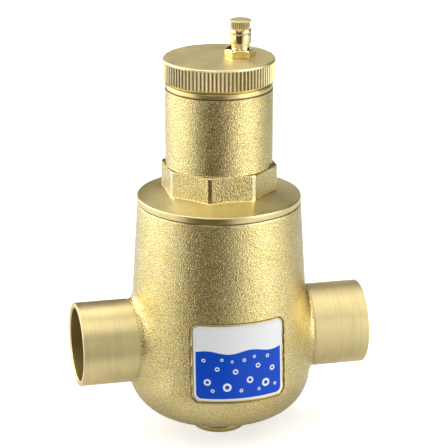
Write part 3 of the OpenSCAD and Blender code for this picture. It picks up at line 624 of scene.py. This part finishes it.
def top_cover():
    """Knurled screw cover: straight teeth that run out under a plain edge, and a threaded spigot below."""
    cut = np.tile([1.0, 0.88, 0.5, 0.12, 0.0, 0.12, 0.5, 0.88], KNURL_TEETH)
    rows = Rows(even_angles(len(cut)))
    rows.line([(0.0, CEILING_Z), (COVER_BORE_R - 1.0, CEILING_Z), (COVER_BORE_R, CEILING_Z - 1.0),
               (COVER_BORE_R, SPIGOT_Z + 0.4), (COVER_BORE_R + 0.4, SPIGOT_Z)])
    root_r = COVER_THREAD_R - COVER_THREAD_DEPTH
    thread_foot = SPIGOT_Z + 0.3
    thread_top = MOUTH_Z - 1.0
    rows.line([(root_r - 0.3, SPIGOT_Z), (root_r, thread_foot)])
    rows.thread(np.arange(thread_foot + 0.1, thread_top, COVER_THREAD_STEP), root_r, COVER_THREAD_DEPTH,
                COVER_PITCH, (thread_foot, COVER_THREAD_FADE), (thread_top, COVER_THREAD_FADE))
    seat = MOUTH_Z + 0.05
    rows.line([(root_r, thread_top), (root_r, seat), (RING_GROOVE[0], seat), (RING_GROOVE[0], COVER_Z),
               (RING_GROOVE[1], COVER_Z), (RING_GROOVE[1], seat), (HUB_R - 0.1, seat),
               (HUB_R, MOUTH_Z + 0.15), (HUB_R, COVER_Z - 0.2), (HUB_R + 0.2, COVER_Z),
               (KNURL_R - KNURL_DEPTH - 0.7, COVER_Z)])
    for z, depth, inset in KNURL_ROWS:
        rows.row(np.minimum(KNURL_R - inset, KNURL_R - KNURL_DEPTH * depth * cut), z)
    rows.line(rounded([(KNURL_R - 0.2, RUN_OUT_Z + 0.65), (KNURL_R - 0.26, COVER_TOP_Z - 0.3, 0.25),
                       (KNURL_R - 0.75, COVER_TOP_Z, 0.3), (KNURL_R - 3.0, COVER_TOP_Z)]))
    rows.line([(r, COVER_TOP_Z) for r in (18.0, 12.0, 6.0, 0.0)])
    piece = finished(rows.solid("screw_cover"), "cover", "turned_brass", "top_cover", sharp=50.0,
                     materials=[KNURLED, COVER_TOP, TURNED_Z, KNURL_GAP_SHADE])

    def layers(centre):
        reach, z = np.hypot(centre[:, 0], centre[:, 1]), centre[:, 2]
        between = (reach < KNURL_R - 0.6 * KNURL_DEPTH) & (reach > KNURL_R - 1.0)
        gap = between & (z > COVER_Z + 0.1) & (z < RUN_OUT_Z + 0.3)
        turned = (z < COVER_Z + 0.1) | (reach < HUB_R)
        top = (z > COVER_TOP_Z - 0.05) & (reach < KNURL_R - 0.6)
        # painted shade between the teeth
        return (KNURL_GAP_SHADE, gap), (TURNED_Z, turned), (COVER_TOP, top)

    return paint(piece, layers)


# ---------------- vent nozzle and cap
HEX_AF = 12.85
HEX_TURN = math.radians(-14.0)
HEX_TOP_Z = COVER_TOP_Z + 3.7
NECK_R = 4.25
NECK_TOP_Z = HEX_TOP_Z + 2.4
BARREL_R = 5.1
BARREL_TOP_Z = NECK_TOP_Z + 4.7
STUD_R = 3.5
STUD_PITCH = 0.75
STUD_THREAD_DEPTH = 0.35
STUD_THREAD_STEP = 0.09
STUD_ROOT_R = STUD_R - STUD_THREAD_DEPTH
NOZZLE_BORE_R = 1.2
CAP_TEETH = 32
CAP_KNURL_R = 4.65
CAP_KNURL_DEPTH = 0.36
CAP_SKIRT_TOP_Z = cap_low.z + 2.1
CAP_KNURL_TOP_Z = CAP_SKIRT_TOP_Z + 3.7
CAP_BRIM_R = 5.22
CAP_BRIM_Z = CAP_KNURL_TOP_Z + 0.22


def vent_nozzle():
    """Hexagon with a turned crown, neck, plain barrel and threaded stud, bored through to the valve seat."""
    near = np.radians([0.0, 0.5, 1.0, 1.6, 2.4, 4.0, 7.0, 11.0, 16.0, 22.0])
    sextant = np.concatenate([-near[:0:-1], near, [math.radians(30.0)]])
    angle = np.sort(np.concatenate([sextant + HEX_TURN + math.radians(60 * k) for k in range(6)]))
    hexagon = polygon_r(angle, 6, HEX_AF / 2, 0.35, HEX_TURN)
    rows = Rows(angle)
    base = COVER_TOP_Z + 0.02
    rows.line([(NOZZLE_BORE_R, NOZZLE_FOOT_Z), (1.8, NOZZLE_FOOT_Z), (1.8, NOZZLE_FOOT_Z + 0.4),
               (3.4, NOZZLE_FOOT_Z + 0.4), (3.4, CEILING_Z), (5.0, CEILING_Z), (5.0, COVER_TOP_Z - 0.1),
               (5.6, base)])
    crown_r = HEX_AF / 2 - 0.15
    crown_z = HEX_TOP_Z - np.maximum(hexagon - crown_r, 0.0) * math.tan(math.radians(30))
    side_z = COVER_TOP_Z + 0.2
    rows.row(hexagon - 0.25, base)
    for share in (0.0, 0.33, 0.66, 1.0):
        rows.row(hexagon, side_z + (crown_z - 0.12 - side_z) * share)
    rows.row(hexagon - 0.12, crown_z + 0.02)
    rows.row(np.minimum(crown_r, hexagon - 0.13), HEX_TOP_Z - 0.02)
    rows.line(rounded([(crown_r - 0.3, HEX_TOP_Z), (NECK_R, HEX_TOP_Z, 0.35), (NECK_R, NECK_TOP_Z, 0.25),
                       (BARREL_R, NECK_TOP_Z + 0.15, 0.3), (BARREL_R, BARREL_TOP_Z, 0.28),
                       (STUD_ROOT_R, BARREL_TOP_Z)]))
    foot = BARREL_TOP_Z + 0.4
    top = BARREL_TOP_Z + 4.2
    rows.line([(STUD_ROOT_R, foot)])
    rows.thread(np.arange(foot + 0.06, top - 0.25, STUD_THREAD_STEP), STUD_ROOT_R, STUD_THREAD_DEPTH,
                STUD_PITCH, (foot, 0.4), (top - 0.2, 0.5))
    rows.line([(STUD_ROOT_R, top - 0.2), (STUD_ROOT_R - 0.2, top), (NOZZLE_BORE_R + 0.2, top),
               (NOZZLE_BORE_R, top - 0.2)])
    piece = rows.solid("nozzle_turning", (NOZZLE_X, 0.0))
    return finished(piece, "cover", "polished_brass", "vent_nozzle", materials=[POLISHED], sharp=26.0)


def vent_cap():
    """Small cap: plain skirt, fine straight knurl, and a thin flared top with a soft dome."""
    cut = np.tile([1.0, 0.8, 0.3, 0.05, 0.0, 0.05, 0.3, 0.8], CAP_TEETH)
    rows = Rows(even_angles(len(cut)))
    foot = cap_low.z
    top = cap_high.z
    bore_r = STUD_R + 0.1
    rows.line([(0.0, top - 1.25), (bore_r - 0.1, top - 1.25), (bore_r, top - 1.4), (bore_r, foot + 0.3),
               (bore_r + 0.3, foot)])
    rows.line(rounded([(bore_r + 0.5, foot), (BARREL_R, foot, 0.22), (BARREL_R, CAP_SKIRT_TOP_Z, 0.25),
                       (4.6, CAP_SKIRT_TOP_Z + 0.02)]))
    for up, share in ((0.03, 0.0), (0.3, 0.9), (1.2, 1.0), (2.4, 1.0), (3.35, 1.0), (3.58, 0.4)):
        rows.row(CAP_KNURL_R - CAP_KNURL_DEPTH * share * cut - 0.04 * (1 - share), CAP_SKIRT_TOP_Z + up)
    rows.line(rounded([(4.5, CAP_KNURL_TOP_Z - 0.02), (4.7, CAP_KNURL_TOP_Z + 0.02, 0.3),
                       (CAP_BRIM_R, CAP_BRIM_Z, 0.05), (CAP_BRIM_R, CAP_BRIM_Z + 0.10, 0.05),
                       (4.75, top - 0.2, 0.6), (3.2, top - 0.04)]))
    rows.line([(1.6, top - 0.005), (0.0, top)])
    piece = finished(rows.solid("dust_cap", (NOZZLE_X, 0.0)), "vent_cap", "polished_brass", "vent_cap",
                     materials=[POLISHED, CAP_BRASS, KNURL_GAP_SHADE, COVER_TOP], sharp=28.0)

    def layers(centre):
        reach, z = np.hypot(centre[:, 0] - NOZZLE_X, centre[:, 1]), centre[:, 2]
        knurl = z > CAP_SKIRT_TOP_Z - 0.02
        between = reach < CAP_KNURL_R - 0.55 * CAP_KNURL_DEPTH
        gap = between & (z > CAP_SKIRT_TOP_Z + 0.3) & (z < CAP_KNURL_TOP_Z - 0.1)
        # painted shade between the cap's teeth
        return (CAP_BRASS, knurl), (KNURL_GAP_SHADE, gap), (COVER_TOP, z > CAP_KNURL_TOP_Z + 0.05)

    return paint(piece, layers)


# ---------------- drain plug
KEY_R = 10.0 / 2 / math.cos(math.pi / 6)  # corners of a 10 mm hexagon key


def drain_plug():
    """Round-edged plug under the body, with a hexagon socket for its key."""
    top = PLUG_TOP_Z
    side = rounded([(3.0, 0.0), (BOSS_R, 0.0, 1.4), (BOSS_R, 2.6, 0.25), (10.1, 2.6), (10.1, 4.2),
                    (10.4, 4.6), (10.4, top - 1.0), (9.7, top), (3.0, top)])
    piece = recalculated(lathe("plug", [(0.0, 0.0), *side, (0.0, top)], columns=160))
    key = recalculated(lathe("key", [(0.0, -1.0), (KEY_R, -1.0), (KEY_R, 5.0), (0.0, 5.8)], columns=6))
    boolean(piece, key, "DIFFERENCE")
    return finished(piece, "housing", "cast_brass", "drain_plug", materials=[TURNED_TOP])


# ---------------- valve spring
SPRING_WIRE = 0.4
SPRING_TURNS = 5
SPRING_FLAT = 0.1  # share of the coil at each end that lies flat
SPRING_SIDES = 12
SPRING_STEPS = 24 * SPRING_TURNS


def valve_spring():
    """Coil between the stem's collar and the guide plate, with flat ends, built at the CAD node's length.
    The real spring shortens as the stem rises.
    """
    low, high = box_mm("valve_spring")
    wire_r = SPRING_WIRE / 2
    coil_r = (high.x - low.x) / 2 - wire_r
    middle_x = (high.x + low.x) / 2
    length = high.z - low.z
    share = np.linspace(0.0, 1.0, SPRING_STEPS + 1)[:, None]
    turn = 2 * math.pi * SPRING_TURNS * share
    climb = np.clip((share - SPRING_FLAT) / (1 - 2 * SPRING_FLAT), 0.0, 1.0)
    around = even_angles(SPRING_SIDES)
    reach = coil_r + wire_r * np.cos(around)
    height = low.z + wire_r + (length - SPRING_WIRE) * climb + wire_r * np.sin(around)
    points = np.stack([middle_x + reach * np.cos(turn), reach * np.sin(turn), height], axis=-1)
    points = points.reshape(-1, 3)
    foot_end = list(range(SPRING_SIDES))
    top_end = [SPRING_STEPS * SPRING_SIDES + k for k in foot_end]
    faces = [*quads(SPRING_STEPS + 1, SPRING_SIDES), foot_end, top_end]
    spring = new_object("valve_spring_coil", points, faces)
    finished(spring, "cover", "stainless", "valve_spring", materials=[STEEL], weighted=False)
    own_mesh(spring)
    return spring


# ---------------- shader nodes
class Tree:
    """The node tree of a material or world, with short calls for the nodes that this scene needs."""

    def __init__(self, owner):
        owner.use_nodes = True
        self.nodes = owner.node_tree.nodes
        self.links = owner.node_tree.links

    def plug(self, value, socket):
        """Sets a socket to a number or colour, or links it to an output."""
        if isinstance(value, bpy.types.NodeSocket):
            self.links.new(value, socket)
        else:
            socket.default_value = value

    def add(self, kind, *inputs, **settings):
        """A new node. Outputs and values go to its first inputs, and settings to the node itself."""
        node = self.nodes.new("ShaderNode" + kind)
        for name, value in settings.items():
            setattr(node, name, value)
        for socket, value in zip(node.inputs, inputs):
            self.plug(value, socket)
        return node

    def math(self, operation, a, b=0.0, c=0.0):
        return self.add("Math", a, b, c, operation=operation).outputs[0]

    def scaled(self, value, factor, plus=0.0):
        """The value times a factor, plus something."""
        return self.math("MULTIPLY_ADD", value, factor, plus)

    def length(self, x, y):
        """Length of a vector in a plane."""
        return self.math("SQRT", self.math("ADD", self.math("MULTIPLY", x, x), self.math("MULTIPLY", y, y)))

    def mix(self, factor, a, b):
        """Blends two colours. A colour is an output or three numbers."""
        node = self.add("Mix", factor, data_type="RGBA")
        for value, socket in ((a, node.inputs[6]), (b, node.inputs[7])):
            self.plug((*value, 1.0) if isinstance(value, tuple) else value, socket)
        return node.outputs[2]


class Surface(Tree):
    """A material on the Principled shader, with textures laid out in the object's coordinates."""

    def __init__(self, name, **sockets):
        self.material = bpy.data.materials.new(name)
        super().__init__(self.material)
        self.shader = self.nodes["Principled BSDF"]
        for socket, value in sockets.items():
            self.shader.inputs[socket.replace("_", " ")].default_value = value
        self.place = self.add("TexCoord").outputs["Object"]

    def stretch(self, factors):
        """The object's coordinates, scaled along each axis."""
        node = self.add("Mapping", self.place)
        node.inputs["Scale"].default_value = factors
        return node.outputs[0]

    def noise(self, size=None, detail=2.0, roughness=0.5, vector=None):
        """Noise whose features are about size mm across, or which follows a stretched vector."""
        node = self.add("TexNoise", vector or self.place)
        node.inputs["Scale"].default_value = per_mm(size) if size else 1.0
        node.inputs["Detail"].default_value = detail
        node.inputs["Roughness"].default_value = roughness
        return node.outputs["Fac"]

    def cells(self, size):
        node = self.add("TexVoronoi", self.place)
        node.inputs["Scale"].default_value = per_mm(size)
        return node.outputs["Distance"]

    def ramp(self, value, *stops):
        """Colours at positions from 0 to 1."""
        node = self.add("ValToRGB", value)
        elements = node.color_ramp.elements
        while len(elements) < len(stops):
            elements.new(0.5)
        for element, (position, colour) in zip(elements, stops):
            element.position = position
            element.color = (*colour, 1.0)
        return node.outputs[0]

    def bump(self, height, distance, strength=1.0, under=None):
        node = self.add("Bump")
        node.inputs["Strength"].default_value = strength
        node.inputs["Distance"].default_value = distance * MM
        self.plug(height, node.inputs["Height"])
        if under:
            self.links.new(under, node.inputs["Normal"])
        return node.outputs[0]

    def done(self, colour, roughness, normal):
        """The finished material, with its colour, roughness and normal linked to the shader."""
        for name, value in (("Base Color", colour), ("Roughness", roughness), ("Normal", normal)):
            self.links.new(value, self.shader.inputs[name])
        return self.material


def per_mm(size):
    """Texture scale, in metres, for features of about this size in millimetres."""
    return 1.0 / (size * MM)


# ---------------- materials
BRASS_DARK = (0.52, 0.40, 0.13)
BRASS_MID = (0.77, 0.63, 0.28)
BRASS_PALE = (0.92, 0.80, 0.45)


def times(colour, factor):
    """A colour made darker or paler."""
    return tuple(min(1.0, c * factor) for c in colour)


def cast_brass():
    """Forged and shot-blasted: a close even grain of tiny dents."""
    t = Surface("cast_brass", Metallic=1.0)
    grain = t.noise(0.52, detail=1.0)
    dents = t.cells(0.9)
    cloud = t.noise(9.0, detail=3.0)
    tone = t.scaled(cloud, 0.15, t.scaled(grain, 0.85))
    colour = t.ramp(tone, (0.33, BRASS_DARK), (0.52, BRASS_MID), (0.74, BRASS_PALE))
    pits = t.bump(dents, 0.05, 0.9)
    return t.done(colour, t.scaled(grain, 0.16, 0.16), t.bump(grain, 0.24, under=pits))


def satin_brass(name, roughness, tint, bump):
    """Machined and then matted: one tone with a very fine grain and faint handling marks."""
    t = Surface(name, Metallic=1.0)
    grain = t.noise(0.5, roughness=0.6)
    marks = t.noise(11.0, detail=3.0)
    tone = t.scaled(marks, 0.3, t.scaled(grain, 0.7))
    colour = t.ramp(tone, (0.34, times(tint, 0.84)), (0.5, tint), (0.68, times(tint, 1.10)))
    rough = t.scaled(marks, 0.12, t.scaled(grain, 0.10, roughness - 0.11))
    return t.done(colour, rough, t.bump(grain, bump))


def turned_brass(name, along, fine, roughness, tint, bump):
    """Lathe-turned: fine lines that run round the axis, so they vary only along it.
    along says which way: x for a pipe socket, z for an upright wall, r for a flat face."""
    t = Surface(name, Metallic=1.0)
    if along == "r":
        x, y = t.add("SeparateXYZ", t.place).outputs[:2]
        reach = t.scaled(t.length(x, y), per_mm(fine))
        line = t.add("CombineXYZ", reach, t.scaled(x, 15.0), t.scaled(y, 15.0)).outputs[0]
    else:
        line = t.stretch([per_mm(fine) if axis == along else 25.0 for axis in "xyz"])
    lines = t.noise(detail=3.0, roughness=0.6, vector=line)
    cloud = t.noise(14.0)
    tone = t.scaled(cloud, 0.4, t.scaled(lines, 0.6))
    colour = t.ramp(tone, (0.3, times(tint, 0.80)), (0.5, tint), (0.72, times(tint, 1.12)))
    return t.done(colour, t.scaled(lines, 0.22, roughness - 0.08), t.bump(lines, bump))


def polished_brass():
    """Bright turned brass with a few hairlines and handling marks."""
    t = Surface("polished_brass", Metallic=1.0)
    lines = t.noise(vector=t.stretch((60.0, 60.0, per_mm(0.12))))
    smudge = t.noise(3.0, detail=3.0)
    colour = t.ramp(smudge, (0.3, (0.82, 0.68, 0.31)), (0.7, (0.94, 0.82, 0.47)))
    rough = t.scaled(smudge, 0.06, t.scaled(lines, 0.06, 0.05))
    return t.done(colour, rough, t.bump(lines, 0.004))


def rubber():
    """Moulded EPDM: nearly black, with a dusty bloom and a fine skin."""
    t = Surface("rubber_seal")
    bloom = t.noise(2.5, detail=4.0)
    skin = t.noise(0.25)
    colour = t.ramp(bloom, (0.35, (0.012, 0.012, 0.013)), (0.75, (0.045, 0.044, 0.042)))
    return t.done(colour, t.scaled(bloom, 0.25, 0.42), t.bump(skin, 0.02, 0.6))


def stainless():
    """Drawn stainless steel: grey, with die lines and slight tarnish."""
    t = Surface("stainless", Metallic=1.0)
    lines = t.noise(detail=3.0, vector=t.stretch((900.0, 900.0, 6000.0)))
    tarnish = t.noise(6.0, detail=3.0)
    colour = t.ramp(tarnish, (0.3, (0.46, 0.45, 0.43)), (0.7, (0.66, 0.66, 0.65)))
    return t.done(colour, t.scaled(lines, 0.25, 0.18), t.bump(lines, 0.01))


def float_plastic():
    """Moulded polypropylene: ivory, slightly translucent, with faint flow marks."""
    t = Surface("float_plastic", Subsurface_Weight=0.15)
    flow = t.noise(detail=3.0, vector=t.stretch((60.0, 60.0, 260.0)))
    colour = t.ramp(flow, (0.3, (0.70, 0.68, 0.60)), (0.7, (0.80, 0.79, 0.72)))
    return t.done(colour, t.scaled(flow, 0.2, 0.32), t.bump(t.noise(0.5), 0.015, 0.5))


LABEL_BLUE = (0.001, 0.070, 0.58)
LABEL_WHITE = (0.93, 0.94, 0.92)
LABEL_RIM = (0.01, 0.03, 0.16)
LABEL_GRAIN = (0.05, 0.10, 0.30)
WATER_LINE = 5.4  # mean height of the blue field's top edge above the pipe axis
# Bubbles as (x, height above the pipe axis, radius); each is printed as a ring
BUBBLES = [(-15.5, -9.0, 1.5), (-11.0, -2.5, 1.0), (-6.5, -11.5, 1.9), (-2.5, -4.0, 1.2), (1.8, 1.4, 0.8),
           (4.5, -8.5, 1.5), (8.6, -2.0, 1.1), (12.5, -11.0, 1.8), (16.0, -4.5, 1.2), (-17.0, 1.6, 0.8),
           (-8.8, 2.0, 0.7), (6.8, 2.6, 0.7), (13.6, 1.9, 0.8), (-13.2, -13.2, 0.8), (9.0, -13.6, 0.7),
           (0.2, -13.4, 0.8), (-4.0, 1.0, 0.6), (17.4, -12.6, 0.7)]


def label_print():
    """A plain two-colour label: a pale band over a blue field with rising bubbles, in a thin pale border."""
    t = Surface("label_film", Coat_Weight=0.06, Coat_Roughness=0.15, Specular_IOR_Level=0.2)
    place = t.add("SeparateXYZ", t.place).outputs
    u = t.scaled(place[0], 1 / MM)
    v = t.scaled(place[2], 1 / MM, -PIPE_Z)

    def inside_of(distance, softness=0.12):
        """1 inside a shape, where its signed distance in mm is negative, with a soft edge down to 0."""
        share = t.math("SUBTRACT", 1.0, t.scaled(distance, 1 / softness, 0.5))
        return t.math("MINIMUM", t.math("MAXIMUM", share, 0.0), 1.0)

    def panel(width, height, radius):
        """Signed distance to a rounded rectangle in the label's middle."""
        across = t.math("SUBTRACT", t.math("ABSOLUTE", u), width / 2 - radius)
        up = t.math("SUBTRACT", t.math("ABSOLUTE", v), height / 2 - radius)
        outside = t.length(t.math("MAXIMUM", across, 0.0), t.math("MAXIMUM", up, 0.0))
        inside = t.math("MINIMUM", t.math("MAXIMUM", across, up), 0.0)
        return t.math("SUBTRACT", t.math("ADD", outside, inside), radius)

    def ring(x, height, radius):
        """Signed distance to a bubble's outline."""
        away = t.length(t.math("SUBTRACT", u, x), t.math("SUBTRACT", v, height))
        return t.math("SUBTRACT", t.math("ABSOLUTE", t.math("SUBTRACT", away, radius * 0.8)), radius * 0.28)

    field = panel(LABEL_W - 1.6, LABEL_H - 1.6, 2.4)
    # the blue field's top edge swells gently, like a water line
    wave = t.scaled(t.math("SINE", t.scaled(u, 0.30)), 0.8)
    below = t.math("SUBTRACT", t.math("SUBTRACT", v, WATER_LINE), wave)
    colour = t.mix(inside_of(t.math("MAXIMUM", field, below)), LABEL_WHITE, LABEL_BLUE)
    bubbles = ring(*BUBBLES[0])
    for bubble in BUBBLES[1:]:
        bubbles = t.math("MINIMUM", bubbles, ring(*bubble))
    colour = t.mix(inside_of(bubbles), colour, LABEL_WHITE)
    colour = t.mix(t.scaled(inside_of(t.math("ABSOLUTE", field), 0.3), 0.35), colour, LABEL_RIM)
    grain = t.noise(0.3)
    scuffs = t.noise(5.0, detail=4.0)
    colour = t.mix(t.scaled(grain, 0.12), colour, LABEL_GRAIN)
    return t.done(colour, t.scaled(scuffs, 0.2, 0.22), t.bump(grain, 0.006, 0.6))


# ---------------- build
CAST = cast_brass()
SHOULDER = satin_brass("shoulder_brass", roughness=0.44, tint=(0.79, 0.66, 0.31), bump=0.07)
COVER_TOP = satin_brass("cover_top_brass", roughness=0.50, tint=(0.90, 0.76, 0.40), bump=0.075)
# a smoother finish whose paler tint is painted highlight, laid on rims, the octagon's foot fillet and round
# the pocket's floor
EDGE_HIGHLIGHT = satin_brass("edge_highlight_brass", roughness=0.34, tint=(0.92, 0.79, 0.44), bump=0.01)
CORNER = satin_brass("corner_brass", roughness=0.22, tint=(0.92, 0.79, 0.44), bump=0.008)
# painted shade: a dark brass laid in grooves, the flange seam, the octagon's ledge and the pocket's wall
GROOVE_SHADE = satin_brass("groove_shade_brass", roughness=0.5, tint=(0.27, 0.19, 0.07), bump=0.02)
TURNED_X = turned_brass("socket_turning", "x", fine=0.22, roughness=0.4, tint=(0.82, 0.68, 0.34), bump=0.012)
# painted shade: turned brass darkened inside the socket bores
BORE_SHADE = turned_brass("bore_shade_turning", "x", fine=0.3, roughness=0.5, tint=(0.40, 0.29, 0.11), bump=0.02)
TURNED_Z = turned_brass("band_turning", "z", fine=0.14, roughness=0.26, tint=(0.82, 0.67, 0.30), bump=0.008)
TURNED_TOP = turned_brass("face_turning", "r", fine=0.2, roughness=0.34, tint=(0.80, 0.66, 0.30), bump=0.008)
KNURLED = satin_brass("knurled_brass", roughness=0.40, tint=(0.95, 0.83, 0.48), bump=0.012)
# painted shade: a dark brass laid between the knurl's teeth
KNURL_GAP_SHADE = satin_brass("knurl_gap_shade_brass", roughness=0.45, tint=(0.42, 0.31, 0.12), bump=0.012)
CAP_BRASS = turned_brass("cap_brass", "r", fine=0.25, roughness=0.34, tint=(0.78, 0.64, 0.30), bump=0.01)
POLISHED = polished_brass()
RUBBER = rubber()
STEEL = stainless()
PLASTIC = float_plastic()
LABEL = label_print()

separator_body()
float_chamber()
top_cover()
vent_nozzle()
vent_cap()
drain_plug()
valve_spring()

NODE_MATERIALS = {"rubber_seal": RUBBER, "stainless": STEEL, "float_plastic": PLASTIC, "label_film": LABEL,
                  "cast_brass": CAST, "turned_brass": TURNED_Z, "polished_brass": POLISHED}
for part in frame["record"]["subparts"]:
    mesh = frame["nodes"][part["node"]].data
    mesh.materials.clear()
    mesh.materials.append(NODE_MATERIALS[part["material_slot"]])


# ---------------- floor, world, lights and camera
FLOOR_HALF = 12000.0
FLOOR_GREY = (0.80, 0.80, 0.80, 1.0)
FLOOR_GLOW = 0.55  # how much the camera sees the floor shine by itself, near the object
GLOW_RANGE = (0.2, 1.6)  # in metres from the axis: the floor glows up to white between these
SHEET_PALE = (0.73, 0.74, 0.77)  # the floor that the brass reflects
STUDIO_DARK = (0.08, 0.055, 0.02)  # the same in a wedge towards the camera
SHEET_EDGE = 0.09  # in metres from the axis: the wedge starts here
WEDGE_AZIMUTH = -27.5
WEDGE_DARK = math.cos(math.radians(18.0))
WEDGE_PALE = math.cos(math.radians(43.0))
WORLD_WHITE = (1.0, 1.0, 1.0, 1.0)
WORLD_DIM = (0.02, 0.02, 0.018, 1.0)
# Softboxes as (azimuth, power in watts), in rings of (name, distance, height, width, tall, boxes)
SOFTBOX_RINGS = [
    ("low_box", 1.0, 0.25, 0.52, 0.5,
     [(8, 0.3), (42, 2.6), (65, 1.7), (150, 0.5), (220, 2.2), (250, 2.9), (280, 1.5), (330, 0.4)]),
    ("mid_box", 1.0, 0.85, 0.52, 0.6, [(40, 1.2), (65, 2.6), (220, 3.5), (250, 0.8), (330, 1.3)]),
    ("high_box", 0.6, 1.35, 0.7, 0.7, [(0, 3.0), (90, 3.0), (180, 3.9), (270, 4.2)]),
]
LIGHT_AIM = Vector((0.0, 0.0, 0.09))
CAMERA_AZIMUTH = -13.8
CAMERA_ELEVATION = math.radians(18.19)
CAMERA_DISTANCE = 1.133
CAMERA_LENS = 191.0
CAMERA_SENSOR = 36.0
CAMERA_SHIFT = 0.0112
CAMERA_AIM = Vector((0.0, 0.0, (PIPE_Z + 55.0) * MM))


def view_place(azimuth, distance, height):
    """A point in metres, at an azimuth of 0 in front of the label and +90 beyond the outlet."""
    a = math.radians(azimuth)
    return Vector((distance * math.sin(a), -distance * math.cos(a), height))


def placed(name, data, location, aim):
    """A new light or camera that faces a point."""
    made = bpy.data.objects.new(name, data)
    bpy.context.scene.collection.objects.link(made)
    made.location = location
    made.rotation_euler = (aim - location).to_track_quat("-Z", "Y").to_euler()
    return made


def seen_and_lit(t, seen, lit):
    """A shader that the camera sees one way and every other ray another way."""
    path = t.add("LightPath")
    return t.add("MixShader", path.outputs["Is Camera Ray"], lit.outputs[0], seen.outputs[0]).outputs[0]


def floor():
    """A wide pale floor that looks nearly white and reflects in the brass as grey."""
    half = FLOOR_HALF
    corners = [(-half, -half, 0), (half, -half, 0), (half, half, 0), (-half, half, 0)]
    made = new_object("floor", corners, [(0, 1, 2, 3)])
    material = bpy.data.materials.new("floor")
    t = Tree(material)
    t.nodes.clear()

    def eased(value, *ends):
        """The value eased from one range to another."""
        return t.add("MapRange", value, *ends, interpolation_type="SMOOTHSTEP").outputs["Result"]

    place = t.add("TexCoord").outputs["Object"]
    away = t.add("VectorMath", place, operation="LENGTH").outputs["Value"]
    # the camera sees the floor glow up to white as the lamps' reach ends
    glow = t.add("Emission")
    t.plug(eased(away, *GLOW_RANGE, FLOOR_GLOW, 1.0), glow.inputs["Strength"])
    seen = t.add("AddShader", t.add("BsdfDiffuse", FLOOR_GREY).outputs[0], glow.outputs[0])
    # in reflections the floor darkens in a wedge towards the camera, as in front of a light tent's opening
    toward = t.add("VectorMath", place, operation="NORMALIZE").outputs[0]
    middle = view_place(WEDGE_AZIMUTH, 1.0, 0.0)
    facing = t.add("VectorMath", toward, middle, operation="DOT_PRODUCT").outputs["Value"]
    wedge = eased(facing, WEDGE_PALE, WEDGE_DARK, 0.0, 1.0)
    beyond = eased(away, SHEET_EDGE, SHEET_EDGE + 0.08, 0.0, 1.0)
    lit = t.add("BsdfDiffuse", t.mix(t.math("MULTIPLY", wedge, beyond), SHEET_PALE, STUDIO_DARK))
    t.add("OutputMaterial", seen_and_lit(t, seen, lit))
    made.data.materials.append(material)


def world():
    """White behind the floor for the camera, and a dark studio for the brass to reflect."""
    made = bpy.data.worlds.new("studio")
    bpy.context.scene.world = made
    t = Tree(made)
    t.nodes.clear()
    t.add("OutputWorld", seen_and_lit(t, t.add("Background", WORLD_WHITE), t.add("Background", WORLD_DIM)))


def softbox(name, location, width, tall, power):
    """A rectangular light that faces the object."""
    lamp = bpy.data.lights.new(name, "AREA")
    lamp.shape = "RECTANGLE"
    lamp.size = width
    lamp.size_y = tall
    lamp.energy = power
    made = placed(name, lamp, location, LIGHT_AIM)
    made.visible_camera = False


floor()
world()
for name, distance, height, width, tall, boxes in SOFTBOX_RINGS:
    for azimuth, power in boxes:
        softbox(f"{name}_{azimuth}", view_place(azimuth, distance, height), width, tall, power)

lens = bpy.data.cameras.new("camera")
lens.lens = CAMERA_LENS
lens.sensor_width = CAMERA_SENSOR
lens.shift_x = CAMERA_SHIFT
eye = view_place(CAMERA_AZIMUTH, CAMERA_DISTANCE * math.cos(CAMERA_ELEVATION),
                 CAMERA_AIM.z + CAMERA_DISTANCE * math.sin(CAMERA_ELEVATION))
bpy.context.scene.camera = placed("camera", lens, eye, CAMERA_AIM)
bpy.context.scene.view_settings.view_transform = "Standard"
